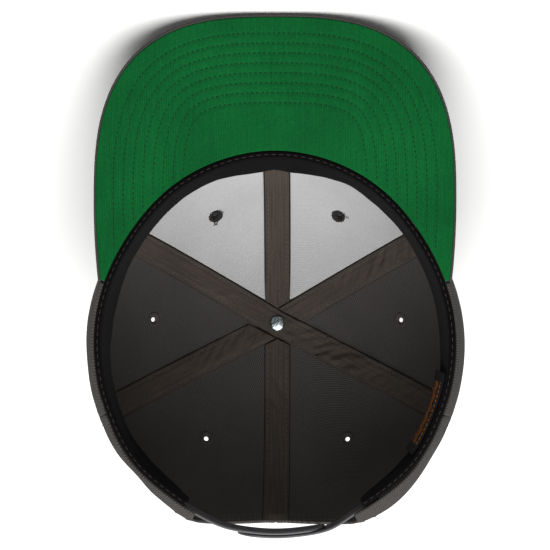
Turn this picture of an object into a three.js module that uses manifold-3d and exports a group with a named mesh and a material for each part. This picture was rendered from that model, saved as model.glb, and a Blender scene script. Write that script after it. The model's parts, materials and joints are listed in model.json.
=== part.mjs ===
// A six-panel snapback cap lying on a table, crown down, as it rests by itself: it leans forward on the
// front of its crown and the tip of its visor. Millimetres. In the cap's own frame the rim lies near z = 0,
// the crown goes down to the button, the visor points to -y, and the wearer's left is at -x.
import * as THREE from 'three';
import { LoftGeometry } from 'three/addons/geometries/LoftGeometry.js';
import { mergeVertices } from 'three/addons/utils/BufferGeometryUtils.js';
import Module from 'manifold-3d';

// Overall sizes
const HEAD_RADIUS = 98; // mean radius of the rim, which the table of meridians follows
const CROWN_HEIGHT = 114; // rim to the cloth under the button
const BULGE_DEPTH = 28; // how far from the rim the crown is widest
const PANEL_FLATNESS = 1.1; // how much flatter a panel is between its seams

// Cloth thicknesses and the clearance between pieces
const CLEARANCE = 0.3;
const PANEL_THICKNESS = 1.6;
const LINING_THICKNESS = 0.9;
const TAPE_THICKNESS = 2.1; // the tape and the seam allowance that it covers
const TAPE_WIDTH = 15;
const TRIM_START_DEPTH = 9.5; // tapes and linings start behind the sweatband
const LINING_TOP_RADIUS = 16.6; // a lining ends in the corner between two tapes

// Visor
const VISOR_REACH = 70; // from the rim to the tip
const VISOR_WIDEST = 28.3; // how far behind the front of the rim the visor is widest
const VISOR_SHOULDER = 1.7; // how far it stands out beyond the rim at the ends of its seam
const VISOR_TAPER = 2.3; // how much wider it is at its widest than at the ends of its seam
const VISOR_CORNER_POWER = 2.8;
const VISOR_SPAN = 74.5; // degrees of rim on each side of the front
const UNDER_CLOTH_MARGIN = 0.4; // degrees by which the green cloth stops short at each end
const NOTCH_MARGIN = 0.2; // degrees by which the side panels' notches are longer
const VISOR_BOW = 4; // how far the middle lies above the sides
const VISOR_THICKNESS = 3.6;
const VISOR_UNDER_THICKNESS = 1.2;
const VISOR_LIP = 1.4; // the upper cloth shows as a thin edge round the green one

// Sweatband and its label
const BAND_END = 153; // degrees from the front
const BAND_HEIGHT = 33;
const BAND_THICKNESS = 1.5;
const HEM_WIDTH = 3.5;
const HEM_HEIGHT = 4.4;
const HEM_PROUD = 0.4;
const LABEL_START = 104;
const LABEL_END = 132;
const LABEL_THICKNESS = 0.8;
const LABEL_LEAN = 1.6; // its free edge stands away from the band

// Rear opening and the snap strap
const ARCH_HALF_WIDTH = 45;
const ARCH_STRAIGHT = 14;
const ARCH_HEIGHT = 50;
const STRAP_THICKNESS = 1.3;
const STRAP_WIDTH = 20;
const STRAP_DEPTH = 5; // from the rim to the strap's near edge
const STRAP_INSET = 0.3; // from the rim line to the strap's outer face
const STRAP_HIDDEN = 12; // length between crown and sweatband
const STRAP_OVERLAP = 46;
const STRAP_OVERLAP_SHIFT = 3.7; // towards the wearer's left
const STRAP_FACE_GAP = 0.45; // between the two straps where they overlap
const STRAP_STEP_LENGTH = 20; // the outer strap steps out over the inner one in this length
const SNAP_COUNT = 5;
const SNAP_PITCH = 9;
const SNAP_END_MARGIN = 5;
const PEG_RADIUS = 2;
const PEG_PROUD = 0.9;
const HOLE_RADIUS = 2.4;

// Button, rivet and eyelets
const APEX_HOLE_RADIUS = 3;
const BUTTON_RADIUS = 7.5;
const BUTTON_HEIGHT = 4.6;
const BUTTON_EDGE_HEIGHT = 1.4; // the dome starts on a low straight edge
const RIVET_HEAD_RADIUS = 4.2;
const RIVET_HEAD_HEIGHT = 2;
const RIVET_SHANK_RADIUS = 2.2;
const EYELET_HOLE_RADIUS = 1.4;
const EYELET_NECK_RADIUS = 2.1;
const EYELET_FLANGE_RADIUS = 4;
const EYELET_FLANGE_THICKNESS = 0.8;

// Facets
const LOWER_STEPS = 4;
const UPPER_STEPS = 4;
const EYELET_ROW_CLIMB = 0.06; // how far the rows beside the eyelets lie from them
const PANEL_STEPS = 9;
const LINING_STEPS = 7;
const VISOR_STEPS = 48;
const BAND_STEPS = 42;
const LABEL_STEPS = 6;
const STRAP_STEPS = 16;
const STRAP_END_STEPS = 6;
const STRAP_END_SWEEP = 0.94; // share of a quarter turn that a strap's rounded end goes through
const STRAP_LINE_STEPS = 240;
const STRAP_LINE_SPREAD = 0.35 * Math.PI; // radians on each side of the rear seam
const ARCH_STEPS = 12;
const ROUND_STEPS = 10;
const BUTTON_DOME_STEPS = 4;

// The crown's outline, as shares of HEAD_RADIUS from the button's axis, with the power of its dome, where
// its ring of eyelets lies and how far the sweatband's free edge leans inwards. The angle is in degrees
// from the front.
const MERIDIANS = [
  { angle: 0, rim: 0.974, bulge: 0.99, power: 2.45, eyelet: 0.735, lean: 0.122 },
  { angle: 29.5, rim: 0.964, bulge: 0.984, power: 2.4, eyelet: 0.735, lean: 0.09 },
  { angle: 59, rim: 0.95, bulge: 0.985, power: 2.3, eyelet: 0.728, lean: 0.086 },
  { angle: 88, rim: 0.98, bulge: 1.036, power: 2.2, eyelet: 0.72, lean: 0.088 },
  { angle: 116.5, rim: 1.022, bulge: 1.078, power: 2.15, eyelet: 0.745, lean: 0.064 },
  { angle: 134, rim: 1.06, bulge: 1.122, power: 2.15, eyelet: 0.768, lean: 0.066 },
  { angle: 148, rim: 1.07, bulge: 1.156, power: 2.15, eyelet: 0.78, lean: 0.048 },
  { angle: 156, rim: 1.084, bulge: 1.16, power: 2.15, eyelet: 0.781, lean: 0.03 },
  { angle: 180, rim: 1.098, bulge: 1.12, power: 2.2, eyelet: 0.781, lean: 0.03 },
];

// The rivet's head, as shares of its radius and height from its seat.
const RIVET_HEAD = [
  { radius: 1, height: 0 },
  { radius: 1, height: 0.4 },
  { radius: 0.7, height: 0.85 },
  { radius: 0, height: 1 },
];

// Panels run from seam to seam, in degrees from the front.
const PANELS = [
  { name: 'front', from: 0, to: 59 },
  { name: 'side', from: 59, to: 116.5 },
  { name: 'rear', from: 116.5, to: 180 },
];
const SIDES = [
  { name: 'left', sign: -1 },
  { name: 'right', sign: 1 },
];

const CLOTH = new THREE.MeshStandardMaterial({ color: 0x4a4745, roughness: 0.95, metalness: 0 });
const TAPE = new THREE.MeshStandardMaterial({ color: 0x3d3833, roughness: 0.95, metalness: 0 });
const LINING = new THREE.MeshStandardMaterial({ color: 0xb4b4b4, roughness: 0.95, metalness: 0 });
const GREEN = new THREE.MeshStandardMaterial({ color: 0x145c2e, roughness: 0.9, metalness: 0 });
const BLACK = new THREE.MeshStandardMaterial({ color: 0x161415, roughness: 0.9, metalness: 0 });
const LABEL = new THREE.MeshStandardMaterial({ color: 0x20202a, roughness: 0.85, metalness: 0 });
const PLASTIC = new THREE.MeshStandardMaterial({ color: 0x4b494c, roughness: 0.45, metalness: 0 });
const STEEL = new THREE.MeshStandardMaterial({ color: 0xb9c6ca, roughness: 0.25, metalness: 1 });

const wasm = await Module();
wasm.setup();

function solid(geometry) {
  const bare = new THREE.BufferGeometry();
  bare.setAttribute('position', geometry.attributes.position);
  bare.setIndex(geometry.index);
  const merged = mergeVertices(bare, 1e-4);
  return new wasm.Manifold(new wasm.Mesh({
    numProp: 3,
    vertProperties: merged.attributes.position.array,
    triVerts: new Uint32Array(merged.index.array),
  }));
}

function geometryOf(manifold) {
  const { numProp, vertProperties, triVerts } = manifold.getMesh();
  if (numProp !== 3) throw new Error('a solid holds positions only');
  const geometry = new THREE.BufferGeometry();
  geometry.setAttribute('position', new THREE.BufferAttribute(vertProperties, 3));
  geometry.setIndex(new THREE.BufferAttribute(triVerts, 1));
  const flat = geometry.toNonIndexed();
  flat.computeVertexNormals();
  return flat;
}

// A column of the table at an angle in radians, the same on both sides of the cap.
const ROW_ANGLES = MERIDIANS.map((row) => THREE.MathUtils.degToRad(row.angle));
const columns = Object.fromEntries(['rim', 'bulge', 'power', 'eyelet', 'lean'].map((name) => {
  const curve = new THREE.CubicInterpolant(ROW_ANGLES, MERIDIANS.map((row) => row[name]), 1);
  curve.settings = { endingStart: THREE.ZeroSlopeEnding, endingEnd: THREE.ZeroSlopeEnding };
  return [name, curve];
}));

function column(name, angle) {
  const folded = Math.abs(THREE.MathUtils.euclideanModulo(angle + Math.PI, 2 * Math.PI) - Math.PI);
  return columns[name].evaluate(folded)[0];
}

// Directions in plan: outwards at an angle from the front, and to its side.
const outward = (angle) => new THREE.Vector3(Math.sin(angle), -Math.cos(angle), 0);
const sideways = (angle) => new THREE.Vector3(Math.cos(angle), Math.sin(angle), 0);

// The middle of the rim's front lies higher than its sides, as the visor bows.
const rimDepth = (angle) => VISOR_BOW * Math.max(0, Math.cos(angle)) ** 2;

// How far a panel falls short of a round crown, nothing at its seams.
const SEAMS = [0, ...PANELS.map((panel) => THREE.MathUtils.degToRad(panel.to))];
function flatness(angle) {
  const folded = Math.abs(THREE.MathUtils.euclideanModulo(angle + Math.PI, 2 * Math.PI) - Math.PI);
  const i = Math.max(1, SEAMS.findIndex((seam) => folded <= seam));
  return PANEL_FLATNESS * Math.sin(Math.PI * (folded - SEAMS[i - 1]) / (SEAMS[i] - SEAMS[i - 1]));
}

// Radius and depth of the crown's outside. Climb runs from -1 at the rim to 0 where the crown is widest
// and 1 at the button's axis.
function meridian(angle, climb) {
  const bulge = HEAD_RADIUS * column('bulge', angle);
  const rim = HEAD_RADIUS * column('rim', angle);
  if (climb <= 0) {
    const radius = bulge - (bulge - rim) * climb ** 2 - flatness(angle) * (1 + climb);
    return { radius, depth: THREE.MathUtils.lerp(BULGE_DEPTH, rimDepth(angle), -climb) };
  }
  const power = 2 / column('power', angle);
  const turn = climb * Math.PI / 2;
  const share = Math.cos(turn) ** power;
  return {
    radius: share * (bulge - flatness(angle)),
    depth: BULGE_DEPTH + (CROWN_HEIGHT - BULGE_DEPTH) * Math.sin(turn) ** power,
  };
}

function outside(angle, climb) {
  const { radius, depth } = meridian(angle, climb);
  return outward(angle).multiplyScalar(radius).setZ(-depth);
}

// The climb at which the dome is a given distance from the button's axis.
function climbAt(angle, radius) {
  const share = radius / (HEAD_RADIUS * column('bulge', angle) - flatness(angle));
  return Math.acos(share ** (column('power', angle) / 2)) / (Math.PI / 2);
}

function outsideNormal(angle, climb) {
  const step = 1e-3;
  const up = outside(angle, climb + step).sub(outside(angle, climb - step));
  const round = outside(angle + step, climb).sub(outside(angle - step, climb));
  return up.cross(round).normalize();
}

function crownPoint(angle, climb, inset) {
  return outside(angle, climb).addScaledVector(outsideNormal(angle, climb), -inset);
}

// The climb of every row of points from a starting depth to the axis, the same in all layers so that they
// nest. The second row lies where linings and tapes start, and a pair lies beside the ring of eyelets.
function climbRows(angle, startDepth = rimDepth(angle)) {
  const atDepth = (depth) => (depth - BULGE_DEPTH) / (BULGE_DEPTH - rimDepth(angle));
  const eyelets = climbAt(angle, HEAD_RADIUS * column('eyelet', angle));
  const top = climbAt(angle, APEX_HOLE_RADIUS);
  const spread = (from, to, steps) =>
    Array.from({ length: steps }, (_, i) => THREE.MathUtils.lerp(from, to, i / steps));
  return [
    atDepth(startDepth),
    atDepth(TRIM_START_DEPTH),
    atDepth((TRIM_START_DEPTH + BULGE_DEPTH) / 2),
    ...spread(0, eyelets - EYELET_ROW_CLIMB, LOWER_STEPS),
    eyelets - EYELET_ROW_CLIMB,
    ...spread(eyelets + EYELET_ROW_CLIMB, top, UPPER_STEPS),
    top,
  ];
}

const trimRows = (angle) => climbRows(angle).slice(1);
const FIRST_EYELET_ROW = 3 + LOWER_STEPS;

// A point of a layer at a share of the way between two seams, each kept off by a margin. As the crown's
// radius changes with the angle, the angle is found in a few rounds.
function patchPoint({ from, to, margin, rowsAt }, share, row, inset) {
  let angle = THREE.MathUtils.lerp(from, to, share);
  let climb = rowsAt(angle)[row];
  for (let round = 0; round < 5; round++) {
    const swing = Math.asin(margin / meridian(angle, climb).radius);
    angle = THREE.MathUtils.lerp(from + swing, to - swing, share);
    climb = rowsAt(angle)[row];
  }
  return crownPoint(angle, climb, inset);
}

// A piece of one layer between two seams. Its faces lie at two insets.
function patch(options) {
  const { from, faces, steps, rowsAt } = options;
  const rows = rowsAt(from).map((_, row) => row);
  const sections = Array.from({ length: steps + 1 }, (_, i) => {
    const line = (inset) => rows.map((row) => patchPoint(options, i / steps, row, inset));
    return [...line(faces[0]), ...line(faces[1]).reverse()];
  });
  return solid(new LoftGeometry(sections, { capStart: true, capEnd: true }));
}

const angleOf = (side, degrees) => side.sign * THREE.MathUtils.degToRad(degrees);

function panelPatch(side, panel, options) {
  const ends = [angleOf(side, panel.from), angleOf(side, panel.to)].sort((a, b) => a - b);
  return patch({ from: ends[0], to: ends[1], ...options });
}

// Polar radius of the visor's outline from the button's axis.
const RIM_FRONT = HEAD_RADIUS * MERIDIANS[0].rim;
const VISOR_END = (() => {
  const angle = THREE.MathUtils.degToRad(VISOR_SPAN);
  return outward(angle).multiplyScalar(HEAD_RADIUS * column('rim', angle));
})();
const VISOR_HALF_WIDTH = VISOR_END.x + VISOR_SHOULDER + VISOR_TAPER;
function visorEdge(angle) {
  const widest = VISOR_WIDEST - RIM_FRONT;
  const length = VISOR_REACH + VISOR_WIDEST;
  const beyond = (radius) => {
    const { x, y } = outward(angle).multiplyScalar(radius);
    const back = Math.max(0, (y - widest) / (VISOR_END.y - widest));
    const halfWidth = VISOR_HALF_WIDTH - VISOR_TAPER * back ** 2;
    const ahead = Math.max(0, widest - y) / length;
    return (Math.abs(x) / halfWidth) ** VISOR_CORNER_POWER + ahead ** VISOR_CORNER_POWER > 1;
  };
  let inside = 0;
  let outsideOf = 2 * (RIM_FRONT + VISOR_REACH);
  for (let i = 0; i < 40; i++) {
    const middle = (inside + outsideOf) / 2;
    if (beyond(middle)) outsideOf = middle;
    else inside = middle;
  }
  return inside;
}

// A solid of the visor from a closed profile. Each of its points is a share of the way from the crown to
// the visor's edge, an amount off that and a height above the underside.
function visorSolid(profile, span) {
  const sections = Array.from({ length: VISOR_STEPS + 1 }, (_, i) => {
    const angle = THREE.MathUtils.degToRad(span * (2 * i / VISOR_STEPS - 1));
    const start = HEAD_RADIUS * column('rim', angle) - PANEL_THICKNESS;
    return profile.map(([share, off, height]) => {
      const radius = THREE.MathUtils.lerp(start, visorEdge(angle), share) - off;
      const point = outward(angle).multiplyScalar(radius);
      const bow = VISOR_BOW * (1 - (point.x / VISOR_HALF_WIDTH) ** 2);
      return point.setZ(-bow - height);
    });
  });
  return solid(new LoftGeometry(sections, { capStart: true, capEnd: true }));
}

// A point beside the rim line: inset horizontally inwards, and a depth below the rim.
function rimPoint(angle, inset, depth) {
  const at = (a) => outward(a).multiplyScalar(HEAD_RADIUS * column('rim', a));
  const along = at(angle + 1e-3).sub(at(angle - 1e-3)).normalize();
  const inwards = new THREE.Vector3(-along.y, along.x, 0);
  return at(angle).addScaledVector(inwards, inset).setZ(-rimDepth(angle) - depth);
}

function loftAlongRim(from, to, steps, profile) {
  const sections = Array.from({ length: steps + 1 }, (_, i) => {
    const angle = THREE.MathUtils.lerp(from, to, i / steps);
    return profile(angle).map(([inset, depth]) => rimPoint(angle, inset, depth));
  });
  return solid(new LoftGeometry(sections, { capStart: true, capEnd: true }));
}

// Where the sweatband's inner face lies at a depth: straight from its hem to its leaning free edge.
const HEM_START = PANEL_THICKNESS + CLEARANCE;
const HEM_END = HEM_START + HEM_WIDTH;
function bandInset(angle, depth) {
  const lean = HEAD_RADIUS * column('lean', angle) - HEM_END;
  return HEM_END + lean * (depth - HEM_HEIGHT) / (BAND_HEIGHT - HEM_HEIGHT);
}

function sweatband() {
  const end = THREE.MathUtils.degToRad(BAND_END);
  return loftAlongRim(-end, end, BAND_STEPS, (angle) => [
    [HEM_START, -HEM_PROUD],
    [HEM_START, HEM_HEIGHT],
    [HEM_END - BAND_THICKNESS, HEM_HEIGHT],
    [bandInset(angle, BAND_HEIGHT) - BAND_THICKNESS, BAND_HEIGHT],
    [bandInset(angle, BAND_HEIGHT), BAND_HEIGHT],
    [HEM_END, HEM_HEIGHT],
    [HEM_END, -HEM_PROUD],
  ]);
}

function label() {
  const from = THREE.MathUtils.degToRad(-LABEL_END);
  const to = THREE.MathUtils.degToRad(-LABEL_START);
  const low = HEM_HEIGHT;
  return loftAlongRim(from, to, LABEL_STEPS, (angle) => {
    const foot = bandInset(angle, low) + CLEARANCE;
    const free = bandInset(angle, BAND_HEIGHT) + LABEL_LEAN;
    return [
      [foot, low],
      [free, BAND_HEIGHT],
      [free + LABEL_THICKNESS, BAND_HEIGHT],
      [foot + LABEL_THICKNESS, low],
    ];
  });
}

// The D-shaped opening at the back, as a prism that passes through the rear panels.
function archCut() {
  const half = ARCH_HALF_WIDTH;
  const shape = new THREE.Shape();
  shape.moveTo(-half, HEAD_RADIUS);
  shape.lineTo(-half, -ARCH_STRAIGHT);
  shape.absellipse(0, -ARCH_STRAIGHT, half, ARCH_HEIGHT - ARCH_STRAIGHT, Math.PI, 2 * Math.PI);
  shape.lineTo(half, HEAD_RADIUS);
  shape.closePath();
  const prism = new THREE.ExtrudeGeometry(shape, {
    depth: 2 * HEAD_RADIUS,
    bevelEnabled: false,
    curveSegments: ARCH_STEPS,
  });
  return solid(prism.rotateX(Math.PI / 2).translate(0, 2 * HEAD_RADIUS, 0));
}

// Distances along the strap's line, which follows the rim round the back: 0 at the rear seam, positive
// towards the wearer's left.
const STRAP_LINE = (() => {
  const angles = Array.from({ length: STRAP_LINE_STEPS + 1 }, (_, i) =>
    Math.PI + STRAP_LINE_SPREAD * (2 * i / STRAP_LINE_STEPS - 1));
  const lengths = [0];
  for (let i = 1; i < angles.length; i++) {
    const step = rimPoint(angles[i], STRAP_INSET, 0).distanceTo(rimPoint(angles[i - 1], STRAP_INSET, 0));
    lengths.push(lengths[i - 1] + step);
  }
  const middle = lengths[STRAP_LINE_STEPS / 2];
  return { angles, lengths: lengths.map((length) => length - middle) };
})();

function strapAngle(distance) {
  const { angles, lengths } = STRAP_LINE;
  const i = Math.max(1, lengths.findIndex((length) => length >= distance));
  const share = (distance - lengths[i - 1]) / (lengths[i] - lengths[i - 1]);
  return THREE.MathUtils.lerp(angles[i - 1], angles[i], share);
}

// How far along the strap's line the opening's edge lies.
const ARCH_EDGE = (() => {
  const { angles, lengths } = STRAP_LINE;
  const i = angles.findIndex((angle) => angle > Math.PI
    && Math.abs(rimPoint(angle, STRAP_INSET, 0).x) > ARCH_HALF_WIDTH);
  return lengths[i];
})();

// A strap from its hidden end to its rounded free end. Its outer face may step outwards on the way.
function strap(hidden, free, outerFace) {
  const round = STRAP_WIDTH / 2;
  const way = Math.sign(free - hidden);
  const straight = Array.from({ length: STRAP_STEPS + 1 }, (_, i) =>
    THREE.MathUtils.lerp(hidden, free - way * round, i / STRAP_STEPS));
  const rounded = Array.from({ length: STRAP_END_STEPS }, (_, i) => {
    const turn = STRAP_END_SWEEP * (i + 1) / STRAP_END_STEPS * Math.PI / 2;
    return free - way * round * (1 - Math.sin(turn));
  });
  const stations = [...straight, ...rounded];
  if (way < 0) stations.reverse();
  const middle = STRAP_DEPTH + round;
  const sections = stations.map((distance) => {
    const past = Math.max(0, way * (distance - (free - way * round))) / round;
    const half = round * Math.sqrt(1 - past ** 2);
    const inset = outerFace(distance);
    return [
      [inset, middle - half],
      [inset, middle + half],
      [inset + STRAP_THICKNESS, middle + half],
      [inset + STRAP_THICKNESS, middle - half],
    ].map(([at, depth]) => rimPoint(strapAngle(distance), at, depth));
  });
  return solid(new LoftGeometry(sections, { capStart: true, capEnd: true }));
}

// A turned piece on the strap, along its outward normal, between two insets.
function strapPin(distance, radius, inner, outer) {
  const depth = STRAP_DEPTH + STRAP_WIDTH / 2;
  const angle = strapAngle(distance);
  const from = rimPoint(angle, inner, depth);
  const to = rimPoint(angle, outer, depth);
  const length = from.distanceTo(to);
  const pin = new THREE.CylinderGeometry(radius, radius, length, ROUND_STEPS).translate(0, length / 2, 0);
  const turn = new THREE.Quaternion().setFromUnitVectors(
    new THREE.Vector3(0, 1, 0),
    to.clone().sub(from).normalize(),
  );
  return solid(pin.applyQuaternion(turn).translate(from.x, from.y, from.z));
}

const SNAPS = Array.from({ length: SNAP_COUNT }, (_, i) => SNAP_END_MARGIN + SNAP_PITCH * i);
const PEG_END = STRAP_OVERLAP_SHIFT + STRAP_OVERLAP / 2;
const HOLE_END = STRAP_OVERLAP_SHIFT - STRAP_OVERLAP / 2;
const OUTER_STRAP_INSET = STRAP_INSET - STRAP_THICKNESS - STRAP_FACE_GAP;

function pegStrap() {
  const band = strap(-ARCH_EDGE - STRAP_HIDDEN, PEG_END, () => STRAP_INSET);
  const pegTop = OUTER_STRAP_INSET - PEG_PROUD;
  return SNAPS.reduce((whole, snap) => {
    const root = STRAP_INSET + STRAP_THICKNESS / 2;
    return whole.add(strapPin(PEG_END - snap, PEG_RADIUS, root, pegTop));
  }, band);
}

function holeStrap() {
  const face = (distance) => THREE.MathUtils.lerp(
    OUTER_STRAP_INSET,
    STRAP_INSET,
    THREE.MathUtils.smoothstep(distance, PEG_END + CLEARANCE, PEG_END + CLEARANCE + STRAP_STEP_LENGTH),
  );
  const band = strap(ARCH_EDGE + STRAP_HIDDEN, HOLE_END, face);
  return SNAPS.reduce((whole, snap) => {
    const inset = face(HOLE_END + snap);
    const pin = strapPin(HOLE_END + snap, HOLE_RADIUS, inset + 2 * STRAP_THICKNESS, inset - STRAP_THICKNESS);
    return whole.subtract(pin);
  }, band);
}

// The flat facet of a panel's middle at its eyelet: its centre and its outward direction.
function eyeletSeat(side, panel) {
  const from = angleOf(side, panel.from);
  const to = angleOf(side, panel.to);
  const ends = [-0.5, 0.5].map((half) => THREE.MathUtils.lerp(from, to, 0.5 + half / PANEL_STEPS));
  const rows = [FIRST_EYELET_ROW, FIRST_EYELET_ROW + 1];
  const corners = ends.map((angle) => rows.map((row) => outside(angle, climbRows(angle)[row])));
  const along = corners[0][1].clone().add(corners[1][1]).sub(corners[0][0]).sub(corners[1][0]);
  const across = corners[1][0].clone().add(corners[1][1]).sub(corners[0][0]).sub(corners[0][1]);
  const centre = corners.flat().reduce((sum, corner) => sum.addScaledVector(corner, 0.25), new THREE.Vector3());
  return { centre, normal: along.cross(across).multiplyScalar(side.sign).normalize() };
}

// A turned solid on an eyelet's seat, with heights measured outwards from the cloth's outside.
function onSeat(profile, { centre, normal }) {
  const points = profile.map(([radius, height]) => new THREE.Vector2(radius, height));
  const turned = new THREE.LatheGeometry(points, ROUND_STEPS);
  const turn = new THREE.Quaternion().setFromUnitVectors(new THREE.Vector3(0, 1, 0), normal);
  return solid(turned.applyQuaternion(turn).translate(centre.x, centre.y, centre.z));
}

// An embroidered eyelet: a flange on each side of the cloth, joined through its hole.
function eyelet(seat, clothThickness) {
  const outer = CLEARANCE;
  const inner = -clothThickness - CLEARANCE;
  return onSeat([
    [EYELET_HOLE_RADIUS, inner - EYELET_FLANGE_THICKNESS],
    [EYELET_FLANGE_RADIUS, inner],
    [EYELET_NECK_RADIUS, inner],
    [EYELET_NECK_RADIUS, outer],
    [EYELET_FLANGE_RADIUS, outer],
    [EYELET_HOLE_RADIUS, outer + EYELET_FLANGE_THICKNESS],
    [EYELET_HOLE_RADIUS, inner - EYELET_FLANGE_THICKNESS],
  ], seat);
}

function eyeletHole(seat) {
  const radius = EYELET_NECK_RADIUS + CLEARANCE;
  const reach = 4 * PANEL_THICKNESS;
  return onSeat([[0, -reach], [radius, -reach], [radius, reach], [0, reach]], seat);
}

// A piece turned about the button's axis, with heights below the rim.
function onAxis(profile) {
  const points = profile.map(([radius, depth]) => new THREE.Vector2(radius, -depth));
  return solid(new THREE.LatheGeometry(points, 2 * ROUND_STEPS).rotateX(Math.PI / 2));
}

function topButton() {
  const base = CROWN_HEIGHT + CLEARANCE;
  const dome = Array.from({ length: BUTTON_DOME_STEPS }, (_, i) => {
    const turn = i / BUTTON_DOME_STEPS * Math.PI / 2;
    const height = THREE.MathUtils.lerp(BUTTON_EDGE_HEIGHT, BUTTON_HEIGHT, Math.sin(turn));
    return [BUTTON_RADIUS * Math.cos(turn), base + height];
  });
  return onAxis([[0, base + BUTTON_HEIGHT], ...dome.reverse(), [BUTTON_RADIUS, base], [0, base]]);
}

const TAPE_FACE = PANEL_THICKNESS + CLEARANCE + TAPE_THICKNESS; // inset of a tape's inner face
function rivet() {
  const seat = CROWN_HEIGHT - TAPE_FACE - CLEARANCE;
  const tip = CROWN_HEIGHT;
  return onAxis([
    [0, tip],
    [RIVET_SHANK_RADIUS, tip],
    [RIVET_SHANK_RADIUS, seat],
    ...RIVET_HEAD.map(({ radius, height }) => [radius * RIVET_HEAD_RADIUS, seat - height * RIVET_HEAD_HEIGHT]),
  ]);
}

const cap = new THREE.Group();
function addPiece(name, manifold, material) {
  const mesh = new THREE.Mesh(geometryOf(manifold), material);
  mesh.name = name;
  cap.add(mesh);
}

function buildVisor() {
  const floor = VISOR_UNDER_THICKNESS + CLEARANCE;
  const rounding = VISOR_THICKNESS / 5;
  addPiece('visor_top', visorSolid([
    [0, 0, floor],
    [1, VISOR_LIP, floor],
    [1, VISOR_LIP, 0],
    [1, rounding, 0],
    [1, 0, rounding],
    [1, 0, VISOR_THICKNESS - rounding],
    [1, rounding, VISOR_THICKNESS],
    [0, 0, VISOR_THICKNESS],
  ], VISOR_SPAN), CLOTH);
  const edge = VISOR_LIP + CLEARANCE;
  addPiece('visor_under', visorSolid([
    [0, 0, 0],
    [1, edge, 0],
    [1, edge, VISOR_UNDER_THICKNESS],
    [0, 0, VISOR_UNDER_THICKNESS],
  ], VISOR_SPAN - UNDER_CLOTH_MARGIN), GREEN);
}

// The notch that the visor takes out of a side panel.
function visorNotch() {
  const low = -2 * VISOR_THICKNESS;
  const high = VISOR_THICKNESS + CLEARANCE;
  const inner = 4 * PANEL_THICKNESS;
  return visorSolid([
    [0, inner, low],
    [1, -inner, low],
    [1, -inner, high],
    [0, inner, high],
  ], VISOR_SPAN + NOTCH_MARGIN);
}

function buildCrown() {
  const notch = visorNotch();
  const arch = archCut();
  const faces = [0, PANEL_THICKNESS];
  const liningFaces = [PANEL_THICKNESS + CLEARANCE, PANEL_THICKNESS + CLEARANCE + LINING_THICKNESS];
  const underVisor = (angle) => climbRows(angle, rimDepth(angle) + VISOR_THICKNESS + CLEARANCE);
  const overRim = (angle) => climbRows(angle);
  const liningRows = (angle) => [...trimRows(angle).slice(0, -1), climbAt(angle, LINING_TOP_RADIUS)];
  for (const side of SIDES) {
    for (const panel of PANELS) {
      const seat = eyeletSeat(side, panel);
      const rowsAt = panel.name === 'front' ? underVisor : overRim;
      let wall = panelPatch(side, panel, { margin: CLEARANCE / 2, faces, steps: PANEL_STEPS, rowsAt });
      if (panel.name === 'side') wall = wall.subtract(notch);
      if (panel.name === 'rear') wall = wall.subtract(arch);
      addPiece(`crown_${panel.name}_${side.name}`, wall.subtract(eyeletHole(seat)), CLOTH);
      let clothThickness = PANEL_THICKNESS;
      if (panel.name === 'front') {
        const lining = panelPatch(side, panel, {
          margin: TAPE_WIDTH / 2 + CLEARANCE,
          faces: liningFaces,
          steps: LINING_STEPS,
          rowsAt: liningRows,
        });
        addPiece(`lining_front_${side.name}`, lining.subtract(eyeletHole(seat)), LINING);
        clothThickness = liningFaces[1];
      }
      addPiece(`eyelet_${panel.name}_${side.name}`, eyelet(seat, clothThickness), CLOTH);
    }
  }
}

// Cross-sections of a seam tape from behind the sweatband to the button's axis. Near the axis its edges
// keep straight on across the dome.
function tapeSections(angle, flip) {
  const across = [0.5, 1 / 6, -1 / 6, -0.5].map((share) => share * TAPE_WIDTH * (flip ? -1 : 1));
  return trimRows(angle).map((climb) => {
    const { radius } = meridian(angle, climb);
    const line = (inset) => across.map((offset) => {
      if (radius > 2 * TAPE_WIDTH) return crownPoint(angle + Math.asin(offset / radius), climb, inset);
      const bearing = angle + Math.atan2(offset, radius);
      return crownPoint(bearing, climbAt(bearing, Math.hypot(radius, offset)), inset);
    });
    const face = PANEL_THICKNESS + CLEARANCE;
    return [...line(face), ...line(TAPE_FACE).reverse()];
  });
}

const tapeLoft = (sections) => solid(new LoftGeometry(sections, { capStart: true, capEnd: true }));

// A tape that ends at the edges of two others which cross it.
function tapeUpTo(angle, before, after) {
  const offset = TAPE_WIDTH / 2 + CLEARANCE;
  return tapeLoft(tapeSections(angle, false))
    .trimByPlane(sideways(before).toArray(), offset)
    .trimByPlane(sideways(after).negate().toArray(), offset);
}

// One tape crosses the top from seam to seam, a second ends at it, and the middle ones end at both.
function buildTapes() {
  const [, frontSeam, rearSeam] = SEAMS;
  const crossing = tapeLoft([
    ...tapeSections(frontSeam, false),
    ...tapeSections(-rearSeam, true).reverse(),
  ]);
  const shank = new THREE.CylinderGeometry(APEX_HOLE_RADIUS, APEX_HOLE_RADIUS, CROWN_HEIGHT, ROUND_STEPS);
  const hole = solid(shank.rotateX(Math.PI / 2).translate(0, 0, -CROWN_HEIGHT));
  const rearMiddle = tapeUpTo(Math.PI, rearSeam, -rearSeam);
  addPiece('tape_crossing', crossing.subtract(hole), TAPE);
  addPiece('tape_front_left', tapeUpTo(-frontSeam, -rearSeam, frontSeam), TAPE);
  addPiece('tape_rear_right', tapeUpTo(rearSeam, frontSeam, -rearSeam), TAPE);
  addPiece('tape_front_middle', tapeUpTo(0, -frontSeam, frontSeam), TAPE);
  addPiece('tape_rear_middle', rearMiddle.subtract(archCut()), TAPE);
}

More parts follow.
